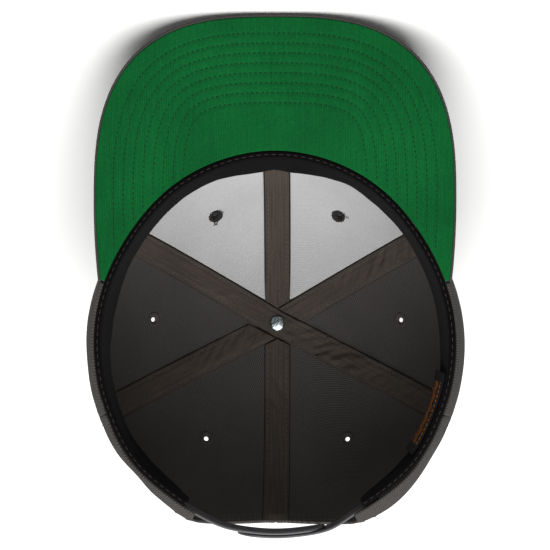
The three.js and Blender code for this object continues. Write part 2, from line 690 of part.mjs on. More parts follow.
function buildTrim() {
  addPiece('sweatband', sweatband(), BLACK);
  addPiece('label', label(), LABEL);
  addPiece('strap_pegs', pegStrap(), PLASTIC);
  addPiece('strap_holes', holeStrap(), PLASTIC);
  addPiece('top_button', topButton(), CLOTH);
  addPiece('button_rivet', rivet(), STEEL);
}

// The tilt about x at which the crown and the visor's tip lie equally low.
function restTilt() {
  const lowest = (isVisor, tilt) => {
    let low = Infinity;
    const point = new THREE.Vector3();
    for (const mesh of cap.children) {
      if (mesh.name.startsWith('visor') !== isVisor) continue;
      const { position } = mesh.geometry.attributes;
      for (let i = 0; i < position.count; i++) {
        point.fromBufferAttribute(position, i);
        low = Math.min(low, point.z * Math.cos(tilt) + point.y * Math.sin(tilt));
      }
    }
    return low;
  };
  let low = 0;
  let high = Math.PI / 2;
  for (let i = 0; i < 30; i++) {
    const middle = (low + high) / 2;
    if (lowest(true, middle) > lowest(false, middle)) low = middle;
    else high = middle;
  }
  return (low + high) / 2;
}

buildVisor();
buildCrown();
buildTapes();
buildTrim();

// Laid on the table: tilted, with the middle of its box over the origin.
cap.rotation.x = restTilt();
cap.updateMatrixWorld(true);
const box = new THREE.Box3().setFromObject(cap, true);
const middle = box.getCenter(new THREE.Vector3());
cap.position.set(-middle.x, -middle.y, -box.min.z);

export default cap;
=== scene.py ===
"""A six-panel snapback cap lying crown down on a pale floor, seen into its hollow.

Every piece is shaped in the cap's own frame, where the rim lies near z = 0, the crown goes down to the
button, the visor points to -y and the wearer's left is at -x. The head opening's mount says how that frame
lies in the world. Lengths are in metres.
"""
import json
import math
from collections import namedtuple

import bmesh
import bpy
from mathutils import Matrix, Vector, noise
from mathutils.kdtree import KDTree


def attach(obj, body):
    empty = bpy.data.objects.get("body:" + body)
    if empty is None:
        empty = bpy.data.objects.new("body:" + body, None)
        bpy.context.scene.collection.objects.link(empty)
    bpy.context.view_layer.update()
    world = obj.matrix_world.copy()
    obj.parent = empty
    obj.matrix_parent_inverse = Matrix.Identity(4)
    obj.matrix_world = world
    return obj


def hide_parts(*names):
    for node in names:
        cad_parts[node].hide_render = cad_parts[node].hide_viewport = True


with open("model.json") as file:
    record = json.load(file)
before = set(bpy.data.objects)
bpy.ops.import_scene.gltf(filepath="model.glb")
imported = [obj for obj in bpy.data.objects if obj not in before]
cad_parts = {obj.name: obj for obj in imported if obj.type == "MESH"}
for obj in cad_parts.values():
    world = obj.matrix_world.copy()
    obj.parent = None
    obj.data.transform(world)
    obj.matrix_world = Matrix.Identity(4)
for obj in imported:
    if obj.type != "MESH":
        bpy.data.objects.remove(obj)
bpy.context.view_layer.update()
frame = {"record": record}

MM = 0.001
TURN = 2 * math.pi

# The crown
HEAD_RADIUS = 98 * MM
CROWN_HEIGHT = 114 * MM
BULGE_DEPTH = 28 * MM
PANEL_FLATNESS = 1.1 * MM
GAP = 0.3 * MM
PANEL_THICKNESS = 1.6 * MM
LINING_THICKNESS = 0.7 * MM
TRIM_START_DEPTH = 9.5 * MM
APEX_HOLE_RADIUS = 3 * MM
LINING_TOP_RADIUS = 16.6 * MM

# Seam tapes and their stitching
TAPE_WIDTH = 15 * MM
TAPE_RISE = 1.9 * MM  # over the two seam allowances
SEAM_STITCH_OFFSET = 5.3 * MM

# Visor
VISOR_REACH = 70 * MM
VISOR_WIDEST = 28.3 * MM
VISOR_SHOULDER = 1.7 * MM
VISOR_TAPER = 2.3 * MM
VISOR_CORNER_POWER = 2.8
VISOR_SPAN = math.radians(74.5)
VISOR_BOW = 4 * MM
VISOR_THICKNESS = 3.6 * MM
VISOR_UNDER_THICKNESS = 1.2 * MM
VISOR_LIP = 1.4 * MM
VISOR_STITCH_ROWS = 8
VISOR_FIRST_STITCH = 10.2 * MM  # from the visor's edge
VISOR_STITCH_SPACING = 5.2 * MM

# Sweatband and label
BAND_END = math.radians(153)
BAND_HEIGHT = 33 * MM
BAND_THICKNESS = 1.3 * MM
HEM_WIDTH = 3.5 * MM
HEM_HEIGHT = 4.4 * MM
HEM_PROUD = 0.4 * MM
LABEL_START = math.radians(104)
LABEL_END = math.radians(132)
LABEL_THICKNESS = 0.7 * MM
LABEL_LEAN = 1.6 * MM

# Rear opening and strap
ARCH_HALF_WIDTH = 45 * MM
ARCH_STRAIGHT = 14 * MM
ARCH_HEIGHT = 50 * MM
STRAP_THICKNESS = 1.3 * MM
STRAP_WIDTH = 20 * MM
STRAP_DEPTH = 5 * MM
STRAP_INSET = 0.3 * MM
STRAP_HIDDEN = 12 * MM
STRAP_OVERLAP = 46 * MM
STRAP_OVERLAP_SHIFT = 3.7 * MM
STRAP_FACE_GAP = 0.45 * MM
STRAP_STEP_LENGTH = 20 * MM
SNAP_COUNT = 5
SNAP_PITCH = 9 * MM
SNAP_END_MARGIN = 5 * MM
PEG_RADIUS = 2 * MM
PEG_PROUD = 0.9 * MM
HOLE_RADIUS = 2.4 * MM

# Button, rivet and eyelets
BUTTON_RADIUS = 7.5 * MM
BUTTON_HEIGHT = 4.6 * MM
RIVET_HEAD_RADIUS = 4.2 * MM
RIVET_HEAD_HEIGHT = 2 * MM
RIVET_SHANK_RADIUS = 2.2 * MM
EYELET_NECK_RADIUS = 2.7 * MM
EYELET_FLANGE_RADIUS = 4 * MM

# The crown's outline as shares of HEAD_RADIUS, at angles in degrees from the front
Meridian = namedtuple("Meridian", "angle rim bulge power eyelet lean")
MERIDIANS = [
    Meridian(0, 0.974, 0.99, 2.45, 0.735, 0.122),
    Meridian(29.5, 0.964, 0.984, 2.4, 0.735, 0.09),
    Meridian(59, 0.95, 0.985, 2.3, 0.728, 0.086),
    Meridian(88, 0.98, 1.036, 2.2, 0.72, 0.088),
    Meridian(116.5, 1.022, 1.078, 2.15, 0.745, 0.064),
    Meridian(134, 1.06, 1.122, 2.15, 0.768, 0.066),
    Meridian(148, 1.07, 1.156, 2.15, 0.78, 0.048),
    Meridian(156, 1.084, 1.16, 2.15, 0.781, 0.03),
    Meridian(180, 1.098, 1.12, 2.2, 0.781, 0.03),
]
Panel = namedtuple("Panel", "name start end")
PANELS = [
    Panel("front", 0, math.radians(59)),
    Panel("side", math.radians(59), math.radians(116.5)),
    Panel("rear", math.radians(116.5), math.pi),
]
SIDES = {"left": -1, "right": 1}
SEAMS = [0] + [panel.end for panel in PANELS]

# The cap's frame in the world, from the mount in the head opening
MOUNT = frame["record"]["mounts"][0]
CAP_TILT = math.atan2(-MOUNT["axis"][1], MOUNT["axis"][2])
CAP = Matrix.Translation(MOUNT["pos_m"]) @ Matrix.Rotation(CAP_TILT, 4, "X")


# The crown's surface

def lerp(a, b, share):
    return a + (b - a) * share


def smooth(share):
    """Rises from 0 to 1 with no slope at either end."""
    share = min(max(share, 0), 1)
    return share * share * (3 - 2 * share)


def bump(distance, width):
    """A bell that is 1 at no distance and has died out past twice the width."""
    return math.exp(-(distance / width) ** 2)


def folded(angle):
    """The angle from the front, the same on both sides of the cap."""
    return abs((angle + math.pi) % TURN - math.pi)


FIRST, LAST = MERIDIANS[0], MERIDIANS[-1]
KNOTS = [
    MERIDIANS[1]._replace(angle=2 * FIRST.angle - MERIDIANS[1].angle),
    *MERIDIANS,
    MERIDIANS[-2]._replace(angle=2 * LAST.angle - MERIDIANS[-2].angle),
]


def column(angle):
    """The table's row at an angle, by a smooth curve through its rows."""
    degrees = math.degrees(folded(angle))
    i = 1
    while i < len(KNOTS) - 3 and degrees > KNOTS[i + 1].angle:
        i += 1
    before, low, high, after = KNOTS[i - 1:i + 3]
    span = high.angle - low.angle
    t = (degrees - low.angle) / span
    values = []
    for a, b, c, d in zip(before, low, high, after):
        middle = (c - b) / span
        start = (middle + (b - a) / (low.angle - before.angle)) / 2
        end = (middle + (d - c) / (after.angle - high.angle)) / 2
        values.append(
            b * (1 + 2 * t) * (1 - t) ** 2
            + c * (3 - 2 * t) * t ** 2
            + span * (start * t * (1 - t) ** 2 - end * (1 - t) * t ** 2)
        )
    return Meridian(*values)


def flatness(angle):
    """How far a panel falls short of a round crown, nothing at its seams."""
    here = folded(angle)
    i = next((i for i in range(1, len(SEAMS)) if here <= SEAMS[i]), len(SEAMS) - 1)
    return PANEL_FLATNESS * math.sin(math.pi * (here - SEAMS[i - 1]) / (SEAMS[i] - SEAMS[i - 1]))


def outward(angle):
    return Vector((math.sin(angle), -math.cos(angle), 0))


def sideways(angle):
    return Vector((math.cos(angle), math.sin(angle), 0))


def rim_depth(angle):
    return VISOR_BOW * max(0, math.cos(angle)) ** 2


def meridian(angle, climb):
    """Radius and depth of the crown's outside. Climb is -1 at the rim, 0 at the bulge, 1 at the axis."""
    row = column(angle)
    widest = HEAD_RADIUS * row.bulge
    if climb <= 0:
        radius = widest - (widest - HEAD_RADIUS * row.rim) * climb ** 2 - flatness(angle) * (1 + climb)
        return radius, lerp(BULGE_DEPTH, rim_depth(angle), -climb)
    turn = min(climb, 1) * math.pi / 2
    power = 2 / row.power
    radius = max(math.cos(turn), 0) ** power * (widest - flatness(angle))
    return radius, BULGE_DEPTH + (CROWN_HEIGHT - BULGE_DEPTH) * math.sin(turn) ** power


def outside(angle, climb):
    radius, depth = meridian(angle, climb)
    point = outward(angle) * radius
    point.z = -depth
    return point


def climb_at_radius(angle, radius):
    row = column(angle)
    share = min(radius / (HEAD_RADIUS * row.bulge - flatness(angle)), 1)
    return math.acos(share ** (row.power / 2)) / (math.pi / 2)


def climb_at_depth(angle, depth):
    if depth <= BULGE_DEPTH:
        return (depth - BULGE_DEPTH) / (BULGE_DEPTH - rim_depth(angle))
    share = min((depth - BULGE_DEPTH) / (CROWN_HEIGHT - BULGE_DEPTH), 1)
    return math.asin(share ** (column(angle).power / 2)) / (math.pi / 2)


def outside_normal(angle, climb):
    step = 1e-3
    along = outside(angle, climb + step) - outside(angle, climb - step)
    around = outside(angle + step, climb) - outside(angle - step, climb)
    return along.cross(around).normalized()


# How softly each panel hangs: the depth of its slack, which is least in the stiffened front panels
SLACK = {"front": 0.2 * MM, "side": 0.5 * MM, "rear": 0.6 * MM}
Dent = namedtuple("Dent", "angle depth width height sink")  # angle and width in degrees round the crown
DENTS = [
    Dent(137, 19 * MM, 6, 13 * MM, 1.9 * MM),
    Dent(147, 26 * MM, 5, 13 * MM, 1.8 * MM),
    Dent(-129, 12 * MM, 3.5, 11 * MM, 0.5 * MM),
    Dent(-145, 20 * MM, 12, 20 * MM, -1.8 * MM),
    Dent(100, 12 * MM, 6, 14 * MM, 0.4 * MM),
]
SLACK_WAVES = 28  # a metre


def ripple(angle, climb):
    """How far all layers of the crown sink inwards from its full shape, by slack and by dents."""
    here = folded(angle)
    panel = next((panel for panel in PANELS if here <= panel.end), PANELS[-1])
    middle = math.sin(math.pi * (here - panel.start) / (panel.end - panel.start))
    point = outside(angle, climb)
    wave = 0.5 + 0.5 * noise.noise(point * SLACK_WAVES + Vector((0, 0, 7)))
    sink = SLACK[panel.name] * wave * middle
    for dent in DENTS:
        away = (math.degrees(angle) - dent.angle + 180) % 360 - 180
        sink += dent.sink * bump(away, dent.width) * bump(-point.z - dent.depth, dent.height)
    return sink


def crown_point(angle, climb, inset):
    return outside(angle, climb) - outside_normal(angle, climb) * (inset + ripple(angle, climb))


# Mesh helpers

def grid(columns, rows, put):
    """A grid of faces. put() takes a point's shares across and along and gives its place and cloth place."""
    bm = bmesh.new()
    bmesh.ops.create_grid(bm, x_segments=columns, y_segments=rows, size=0.5)
    bm.verts.index_update()
    cloth = bm.loops.layers.uv.new("cloth")
    spots = []
    for vert in bm.verts:
        vert.co, spot = put(vert.co.x + 0.5, vert.co.y + 0.5)
        spots.append(spot)
    for face in bm.faces:
        for loop in face.loops:
            loop[cloth].uv = spots[loop.vert.index]
    return bm


def close(bm):
    """Joins the edges of a rolled-up grid and closes its ends, with all faces out."""
    bmesh.ops.remove_doubles(bm, verts=bm.verts, dist=0.02 * MM)
    bmesh.ops.holes_fill(bm, edges=[edge for edge in bm.edges if edge.is_boundary])
    bmesh.ops.recalc_face_normals(bm, faces=bm.faces)
    return bm


def face_away(bm, centre):
    """Turns the faces of an open sheet so that they look away from a point."""
    bmesh.ops.recalc_face_normals(bm, faces=bm.faces)
    bm.normal_update()
    out = sum(face.normal.dot(face.calc_center_median() - centre) for face in bm.faces)
    if out < 0:
        bmesh.ops.reverse_faces(bm, faces=bm.faces)
    return bm


def joined(parts):
    """One bmesh of several, which are used up."""
    whole = bmesh.new()
    for part in parts:
        mesh = bpy.data.meshes.new("part")
        part.to_mesh(mesh)
        part.free()
        whole.from_mesh(mesh)
        bpy.data.meshes.remove(mesh)
    return whole


def trim(bm, point, away):
    """Cuts off what lies past a plane and closes the cut."""
    cut = bmesh.ops.bisect_plane(
        bm, geom=bm.verts[:] + bm.edges[:] + bm.faces[:], plane_co=point, plane_no=away, clear_outer=True,
    )
    edges = [item for item in cut["geom_cut"] if isinstance(item, bmesh.types.BMEdge)]
    bmesh.ops.holes_fill(bm, edges=edges)


def pierce(bm, centre, axis, radius):
    """Opens a round hole in a sheet: drops the faces inside it and draws their rim to the circle."""
    def away(point):
        flat = point - centre
        return flat - axis * flat.dot(axis)
    near = [face for face in bm.faces if (face.calc_center_median() - centre).length < 3 * radius]
    inside = [face for face in near if away(face.calc_center_median()).length < radius]
    bmesh.ops.delete(bm, geom=inside, context="FACES")
    for vert in bm.verts:
        if vert.is_boundary and (vert.co - centre).length < 3 * radius:
            flat = away(vert.co)
            vert.co += flat.normalized() * (radius - flat.length)
    return bm


EDGE_CREASE = 0.6  # keeps a cut cloth edge from rounding off fully


def piece(name, bm, material, nodes=(), thicken=0, soften=0):
    """Makes a finished object of a mesh in the cap's frame, with a wall and subdivisions."""
    bmesh.ops.transform(bm, matrix=CAP, verts=bm.verts)
    mesh = bpy.data.meshes.new(name)
    bm.to_mesh(mesh)
    bm.free()
    mesh.polygons.foreach_set("use_smooth", [True] * len(mesh.polygons))
    obj = bpy.data.objects.new(name, mesh)
    bpy.context.scene.collection.objects.link(obj)
    mesh.materials.append(material)
    if thicken:
        wall = obj.modifiers.new("wall", "SOLIDIFY")
        wall.thickness = thicken
        wall.offset = -1
        wall.edge_crease_inner = wall.edge_crease_outer = EDGE_CREASE
    if soften:
        softener = obj.modifiers.new("soften", "SUBSURF")
        softener.levels = softener.render_levels = soften
    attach(obj, "root")
    if nodes:
        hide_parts(*nodes)
    return obj


def along_line(points, spacing):
    """Points and directions at equal steps along a line of (point, normal) pairs."""
    spots = []
    travelled = 0
    due = spacing / 2
    for (start, start_normal), (end, end_normal) in zip(points, points[1:]):
        length = (end - start).length
        while length > 0 and travelled + length >= due:
            share = (due - travelled) / length
            normal = start_normal.lerp(end_normal, share).normalized()
            spots.append((start.lerp(end, share), (end - start).normalized(), normal))
            due += spacing
        travelled += length
    return spots


Stitch = namedtuple("Stitch", "pitch length width")
CROWN_STITCH = Stitch(3 * MM, 2.4 * MM, 0.5 * MM)
TAPE_STITCH = Stitch(2.9 * MM, 2.1 * MM, 0.42 * MM)
VISOR_UNDER_STITCH = Stitch(2.65 * MM, 1.4 * MM, 0.55 * MM)
VISOR_TOP_STITCH = Stitch(2.65 * MM, 2.2 * MM, 0.55 * MM)
HEM_STITCH = Stitch(3.9 * MM, 2.6 * MM, 0.4 * MM)
STITCH_LIFT = 0.15  # of its width, over the cloth


def stitches(points, stitch):
    """A row of thread stitches along a line of (point, normal) pairs, each sunk in at its ends."""
    bm = bmesh.new()
    for place, way, normal in along_line(points, stitch.pitch):
        across = normal.cross(way).normalized()
        frame_here = Matrix((across, normal, way)).transposed().to_4x4()
        frame_here.translation = place + normal * (STITCH_LIFT * stitch.width)
        size = Matrix.Diagonal((stitch.width / 2, stitch.width / 2, stitch.length / 2, 1))
        bmesh.ops.create_uvsphere(bm, u_segments=6, v_segments=5, radius=1, matrix=frame_here @ size)
    return bm


def turned(profile, steps):
    """A closed solid spun about z from (radius, height) points."""
    bm = bmesh.new()
    verts = [bm.verts.new((radius, 0, height)) for radius, height in profile]
    edges = [bm.edges.new(pair) for pair in zip(verts, verts[1:])]
    bmesh.ops.spin(
        bm, geom=verts + edges, axis=(0, 0, 1), cent=(0, 0, 0), steps=steps, angle=TURN, use_merge=True,
    )
    bmesh.ops.remove_doubles(bm, verts=bm.verts, dist=0.001 * MM)
    bmesh.ops.recalc_face_normals(bm, faces=bm.faces)
    return bm


def seated(bm, centre, axis):
    """Stands a mesh made about z on a place, with its z along an axis."""
    turn = Vector((0, 0, 1)).rotation_difference(axis).to_matrix().to_4x4()
    bmesh.ops.transform(bm, matrix=Matrix.Translation(centre) @ turn, verts=bm.verts)
    return bm


# Materials

def colour(code):
    """An sRGB hex colour as linear values."""
    channels = [int(code[i:i + 2], 16) / 255 for i in (1, 3, 5)]
    linear = [c / 12.92 if c <= 0.04045 else ((c + 0.055) / 1.055) ** 2.4 for c in channels]
    return (*linear, 1)


def add(tree, kind, settings=None, **inputs):
    """Adds a node with its settings, and sets or links its inputs. In their names _ stands for a space."""
    made = tree.nodes.new(kind)
    for name, value in (settings or {}).items():
        setattr(made, name, value)
    for name, value in inputs.items():
        socket = made.inputs[int(name[1:])] if name[1:].isdigit() else made.inputs[name.replace("_", " ")]
        if isinstance(value, bpy.types.NodeSocket):
            tree.links.new(value, socket)
        else:
            socket.default_value = value
    return made


def new_material(name, **shader):
    """A material with a Principled shader, and its tree and shader."""
    made = bpy.data.materials.new(name)
    made.use_nodes = True
    tree = made.node_tree
    principled = tree.nodes["Principled BSDF"]
    for socket, value in shader.items():
        principled.inputs[socket.replace("_", " ")].default_value = value
    return made, tree, principled


def band_scale(period):
    """The Wave texture's scale for bands of a period: it repeats 20 / (2 pi) times a unit."""
    return TURN / 20 / period


def mixed(tree, factor, a, b, blend="MIX"):
    node = add(tree, "ShaderNodeMix", {"data_type": "RGBA", "blend_type": blend}, _0=factor, _6=a, _7=b)
    return node.outputs[2]


def ranged(tree, value, low, high, to_low=0.0, to_high=1.0):
    return add(tree, "ShaderNodeMapRange", None, _0=value, _1=low, _2=high, _3=to_low, _4=to_high).outputs[0]


WEAVE_RELIEF = 0.1 * MM


def woven(name, dark, light, rib, rib_turn, rib_contrast, mottle, slub=0.0, **shader):
    """Cloth with ribs of a given spacing on its own cloth map, mottled wear, and fuzz."""
    shader = {"Roughness": 0.94, "Specular_IOR_Level": 0.04, "Sheen_Weight": 0.02, "IOR": 1.46, **shader}
    made, tree, principled = new_material(name, **shader)
    cloth = add(tree, "ShaderNodeUVMap", {"uv_map": "cloth"}).outputs["UV"]
    object_place = add(tree, "ShaderNodeTexCoord").outputs["Object"]
    turned_cloth = add(tree, "ShaderNodeMapping", None, Vector=cloth, Rotation=(0, 0, math.radians(rib_turn)))
    ribs = add(
        tree, "ShaderNodeTexWave", {"wave_type": "BANDS", "bands_direction": "X"},
        Vector=turned_cloth.outputs[0], Scale=band_scale(rib), Distortion=1.2, Detail=2.0, Detail_Scale=3.0,
    ).outputs["Fac"]
    cross = add(
        tree, "ShaderNodeTexWave", {"wave_type": "BANDS", "bands_direction": "Y"},
        Vector=turned_cloth.outputs[0], Scale=band_scale(rib * 0.6), Distortion=2.0, Detail=2.0,
    ).outputs["Fac"]
    fuzz = add(tree, "ShaderNodeTexNoise", None, Vector=object_place, Scale=1 / (1.1 * MM), Detail=4.0)
    wear = add(tree, "ShaderNodeTexNoise", None, Vector=object_place, Scale=1 / (38 * MM), Detail=5.0)
    streak = add(tree, "ShaderNodeMapping", None, Vector=cloth, Scale=(1 / (1.4 * MM), 1 / (22 * MM), 1))
    slubs = add(tree, "ShaderNodeTexNoise", None, Vector=streak.outputs[0], Scale=1.0, Detail=3.0)
    tone = mixed(tree, ranged(tree, ribs, 0.2, 0.8), colour(dark), colour(light))
    plain = mixed(tree, 0.5, colour(dark), colour(light))
    tone = mixed(tree, rib_contrast, plain, tone)
    shade = ranged(tree, wear.outputs["Fac"], 0.3, 0.7, 1 - mottle, 1 + mottle)
    fleck = ranged(tree, fuzz.outputs["Fac"], 0.3, 0.7, 1 - mottle * 0.9, 1 + mottle * 0.9)
    slubbed = ranged(tree, slubs.outputs["Fac"], 0.3, 0.7, 1 - slub, 1 + slub)
    strength = add(tree, "ShaderNodeMath", {"operation": "MULTIPLY"}, _0=shade, _1=fleck).outputs[0]
    strength = add(tree, "ShaderNodeMath", {"operation": "MULTIPLY"}, _0=strength, _1=slubbed).outputs[0]
    grey = add(tree, "ShaderNodeCombineColor", None, _0=strength, _1=strength, _2=strength).outputs[0]
    tree.links.new(mixed(tree, 1.0, tone, grey, "MULTIPLY"), principled.inputs["Base Color"])
    height = add(tree, "ShaderNodeMath", {"operation": "MULTIPLY_ADD"}, _0=cross, _1=0.5, _2=ribs).outputs[0]
    height = add(
        tree, "ShaderNodeMath", {"operation": "MULTIPLY_ADD"}, _0=fuzz.outputs["Fac"], _1=1.3, _2=height,
    ).outputs[0]
    relief = add(tree, "ShaderNodeBump", None, Height=height, Distance=WEAVE_RELIEF, Strength=0.7)
    tree.links.new(relief.outputs[0], principled.inputs["Normal"])
    return made


THREAD_TWIST = 1.2 * MM


def spun_thread(name, code):
    """Sewing thread: spun polyester with a slight twist, a little shinier than the cloth."""
    made, tree, principled = new_material(name, Roughness=0.7, Specular_IOR_Level=0.25)
    place = add(tree, "ShaderNodeTexCoord").outputs["Object"]
    strands = add(
        tree, "ShaderNodeTexWave", {"wave_type": "BANDS", "bands_direction": "DIAGONAL"},
        Vector=place, Scale=band_scale(THREAD_TWIST), Distortion=1.0,
    ).outputs["Fac"]
    shades = [tuple(c * factor for c in colour(code)[:3]) + (1,) for factor in (0.72, 1.2)]
    tree.links.new(mixed(tree, strands, *shades), principled.inputs["Base Color"])
    relief = add(tree, "ShaderNodeBump", None, Height=strands, Distance=0.06 * MM, Strength=0.6)
    tree.links.new(relief.outputs[0], principled.inputs["Normal"])
    return made


# The weaves, the threads' twist and the plastic's grain are drawn two or three times as coarse as the real
# ones, so that they show.

# Brushed cotton twill: matt, with fine diagonal ribs and faded wear
BRUSHED_TWILL = woven("brushed_cotton_twill", "#373534", "#504d4b", 1.1 * MM, -45, 0.9, 0.08)
# The same twill stretched over the visor's board, with its ribs a little fainter
VISOR_TWILL = woven("visor_cotton_twill", "#373534", "#504d4b", 1.1 * MM, -45, 0.8, 0.08)
# Cotton seam tape: plain and thin, a browner dye, with light slubs along its length
SEAM_TAPE = woven("cotton_seam_tape", "#3a3430", "#504943", 0.9 * MM, 0, 0.5, 0.14, slub=0.16)
# Fused knit interlining: light grey, faintly ribbed, with heathered flecks
INTERLINING = woven("fused_knit_interlining", "#a6a6a6", "#bcbcbc", 1.3 * MM, 62, 0.55, 0.06)
# Dyed polyester-cotton poplin: an even green with a fine upright grain and a slight mottle
GREEN_POPLIN = woven(
    "green_poplin", "#0b4d23", "#10622e", 0.9 * MM, 0, 0.55, 0.16, slub=0.08,
)
# Cotton sweatband twill: nearly black and quite matt, with finer ribs than the crown
SWEATBAND_TWILL = woven(
    "black_sweatband_twill", "#080707", "#0e0c0d", 0.9 * MM, 45, 0.6, 0.16,
)
# Sewing and embroidery threads, each a shade off the cloth that it is sewn into
CHARCOAL_THREAD = spun_thread("charcoal_sewing_thread", "#5a524a")
GREEN_THREAD = spun_thread("green_sewing_thread", "#06351a")
GREY_THREAD = spun_thread("grey_sewing_thread", "#37322f")
BLACK_THREAD = spun_thread("black_embroidery_thread", "#262322")
DARK_GREY_THREAD = spun_thread("dark_grey_embroidery_thread", "#45403e")


def label_damask():
    """Woven damask label: a satin navy ground with copper-orange bars and a zigzag, in weft floats."""
    made, tree, principled = new_material("woven_damask_label", Roughness=0.7, Specular_IOR_Level=0.2)
    cloth = add(tree, "ShaderNodeUVMap", {"uv_map": "cloth"}).outputs["UV"]
    parts = add(tree, "ShaderNodeSeparateXYZ", None, Vector=cloth).outputs
    length, height = LABEL_SIZE

    def maths(operation, a, b=0.0, c=0.0):
        return add(tree, "ShaderNodeMath", {"operation": operation}, _0=a, _1=b, _2=c).outputs[0]

    def between(value, low, high):
        return maths("MULTIPLY", maths("GREATER_THAN", value, low), maths("LESS_THAN", value, high))

    along, across = parts["X"], parts["Y"]
    inside = between(along, 0.12 * length, 0.88 * length)
    wave = maths("PINGPONG", along, 3.4 * MM)
    centre = maths("ADD", wave, 0.5 * height - 1.7 * MM)
    from_zigzag = maths("ABSOLUTE", maths("SUBTRACT", across, centre))
    zigzag = maths("LESS_THAN", maths("PINGPONG", from_zigzag, 1.6 * MM), 0.8 * MM)
    zigzag = maths("MULTIPLY", zigzag, maths("LESS_THAN", from_zigzag, 5.6 * MM))
    bars = maths("GREATER_THAN", maths("PINGPONG", along, 1.4 * MM), 0.5 * MM)
    rows = [between(across, share * height, share * height + 2.6 * MM) for share in (0.1, 0.8)]
    blocks = maths("MULTIPLY", bars, maths("MAXIMUM", *rows))
    motif = maths("MULTIPLY", inside, maths("MAXIMUM", zigzag, blocks))
    threads = add(
        tree, "ShaderNodeTexWave", {"wave_type": "BANDS", "bands_direction": "Y"},
        Vector=cloth, Scale=band_scale(0.7 * MM), Distortion=0.6,
    ).outputs["Fac"]
    ground = mixed(tree, threads, colour("#111217"), colour("#1b1c21"))
    weft = mixed(tree, threads, colour("#80470f"), colour("#b8701f"))
    tree.links.new(mixed(tree, motif, ground, weft), principled.inputs["Base Color"])
    relief = add(tree, "ShaderNodeBump", None, Height=maths("MULTIPLY_ADD", motif, 0.8, threads),
                 Distance=0.12 * MM, Strength=0.8)
    tree.links.new(relief.outputs[0], principled.inputs["Normal"])
    return made


def strap_plastic():
    """Moulded polyethylene: dark grey, satin, with a fine spark-eroded grain that scatters its gloss."""
    made, tree, principled = new_material("moulded_polyethylene", IOR=1.51)
    place = add(tree, "ShaderNodeTexCoord").outputs["Object"]
    grain = add(tree, "ShaderNodeTexNoise", None, Vector=place, Scale=1 / (0.5 * MM), Detail=3.0)
    scuffs = add(
        tree, "ShaderNodeTexNoise", None, Vector=place, Scale=1 / (14 * MM), Detail=6.0, Roughness=0.7,
    )
    tone = mixed(tree, scuffs.outputs["Fac"], colour("#434144"), colour("#545255"))
    tree.links.new(tone, principled.inputs["Base Color"])
    tree.links.new(ranged(tree, scuffs.outputs["Fac"], 0.3, 0.7, 0.38, 0.52), principled.inputs["Roughness"])
    relief = add(tree, "ShaderNodeBump", None, Height=grain.outputs["Fac"], Distance=0.05 * MM, Strength=0.5)
    tree.links.new(relief.outputs[0], principled.inputs["Normal"])
    return made


def brushed_zinc():
    """Zinc-plated steel with slanting brush streaks in its roughness and relief, and painted reflection in
    its colour: bright pale blue-white, with dark streaks of painted reflection across its highlight.
    """
    made, tree, principled = new_material("brushed_zinc_plate", Metallic=1.0)
    place = add(tree, "ShaderNodeTexCoord").outputs["Object"]
    turned_place = add(tree, "ShaderNodeMapping", {"vector_type": "TEXTURE"}, Vector=place,
                       Rotation=(0, 0, math.radians(38)), Scale=(3 * MM, 0.35 * MM, 3 * MM))
    brush_marks_and_painted_reflection = add(tree, "ShaderNodeTexNoise", None, Vector=turned_place.outputs[0], Scale=1.0, Detail=4.0)
    # Painted reflection: the base colour swings from dark blue-grey to pale blue-white along the slanting
    # brush streaks, standing in for reflected surroundings; the same streaks also set real roughness and
    # relief below.
    tone = mixed(tree, ranged(tree, brush_marks_and_painted_reflection.outputs["Fac"], 0.35, 0.65), colour("#4f6168"), colour("#e9f3f5"))
    tree.links.new(tone, principled.inputs["Base Color"])
    tree.links.new(ranged(tree, brush_marks_and_painted_reflection.outputs["Fac"], 0.3, 0.7, 0.2, 0.42), principled.inputs["Roughness"])
    relief = add(tree, "ShaderNodeBump", None, Height=brush_marks_and_painted_reflection.outputs["Fac"], Distance=0.06 * MM, Strength=0.5)
    tree.links.new(relief.outputs[0], principled.inputs["Normal"])
    return made


# The crown's panels

PANEL_COLUMN_SIZE = 2.2 * MM
PANEL_ROWS = 52
LOW_ROWS = 7
ROLL_DEPTH = 0.35 * MM  # how far a panel's edge rolls into its seam
SEAM_LAP = 0.06 * MM  # the panels close on each other in a seam
STITCH_DIP = 0.25 * MM  # of the cloth under the topstitching
PUCKER_DEPTH = 0.2 * MM
LINING_SLACK = 0.35 * MM
ARCH_SIDE = math.pi - math.asin(ARCH_HALF_WIDTH / (HEAD_RADIUS * column(math.radians(155)).bulge))


def climb_along(angle, start, end, share):
    """The climb at a share of the cloth's length between two climbs."""
    steps = 24
    climbs = [lerp(start, end, i / steps) for i in range(steps + 1)]
    places = [Vector(meridian(angle, climb)) for climb in climbs]
    lengths = [0]
    for a, b in zip(places, places[1:]):
        lengths.append(lengths[-1] + (b - a).length)
    wanted = share * lengths[-1]
    i = next((i for i in range(1, steps) if lengths[i] >= wanted), steps)
    return lerp(climbs[i - 1], climbs[i], (wanted - lengths[i - 1]) / (lengths[i] - lengths[i - 1]))


def seam_swing(radius, margin):
    return math.asin(max(-0.5, min(margin / radius, 0.5)))


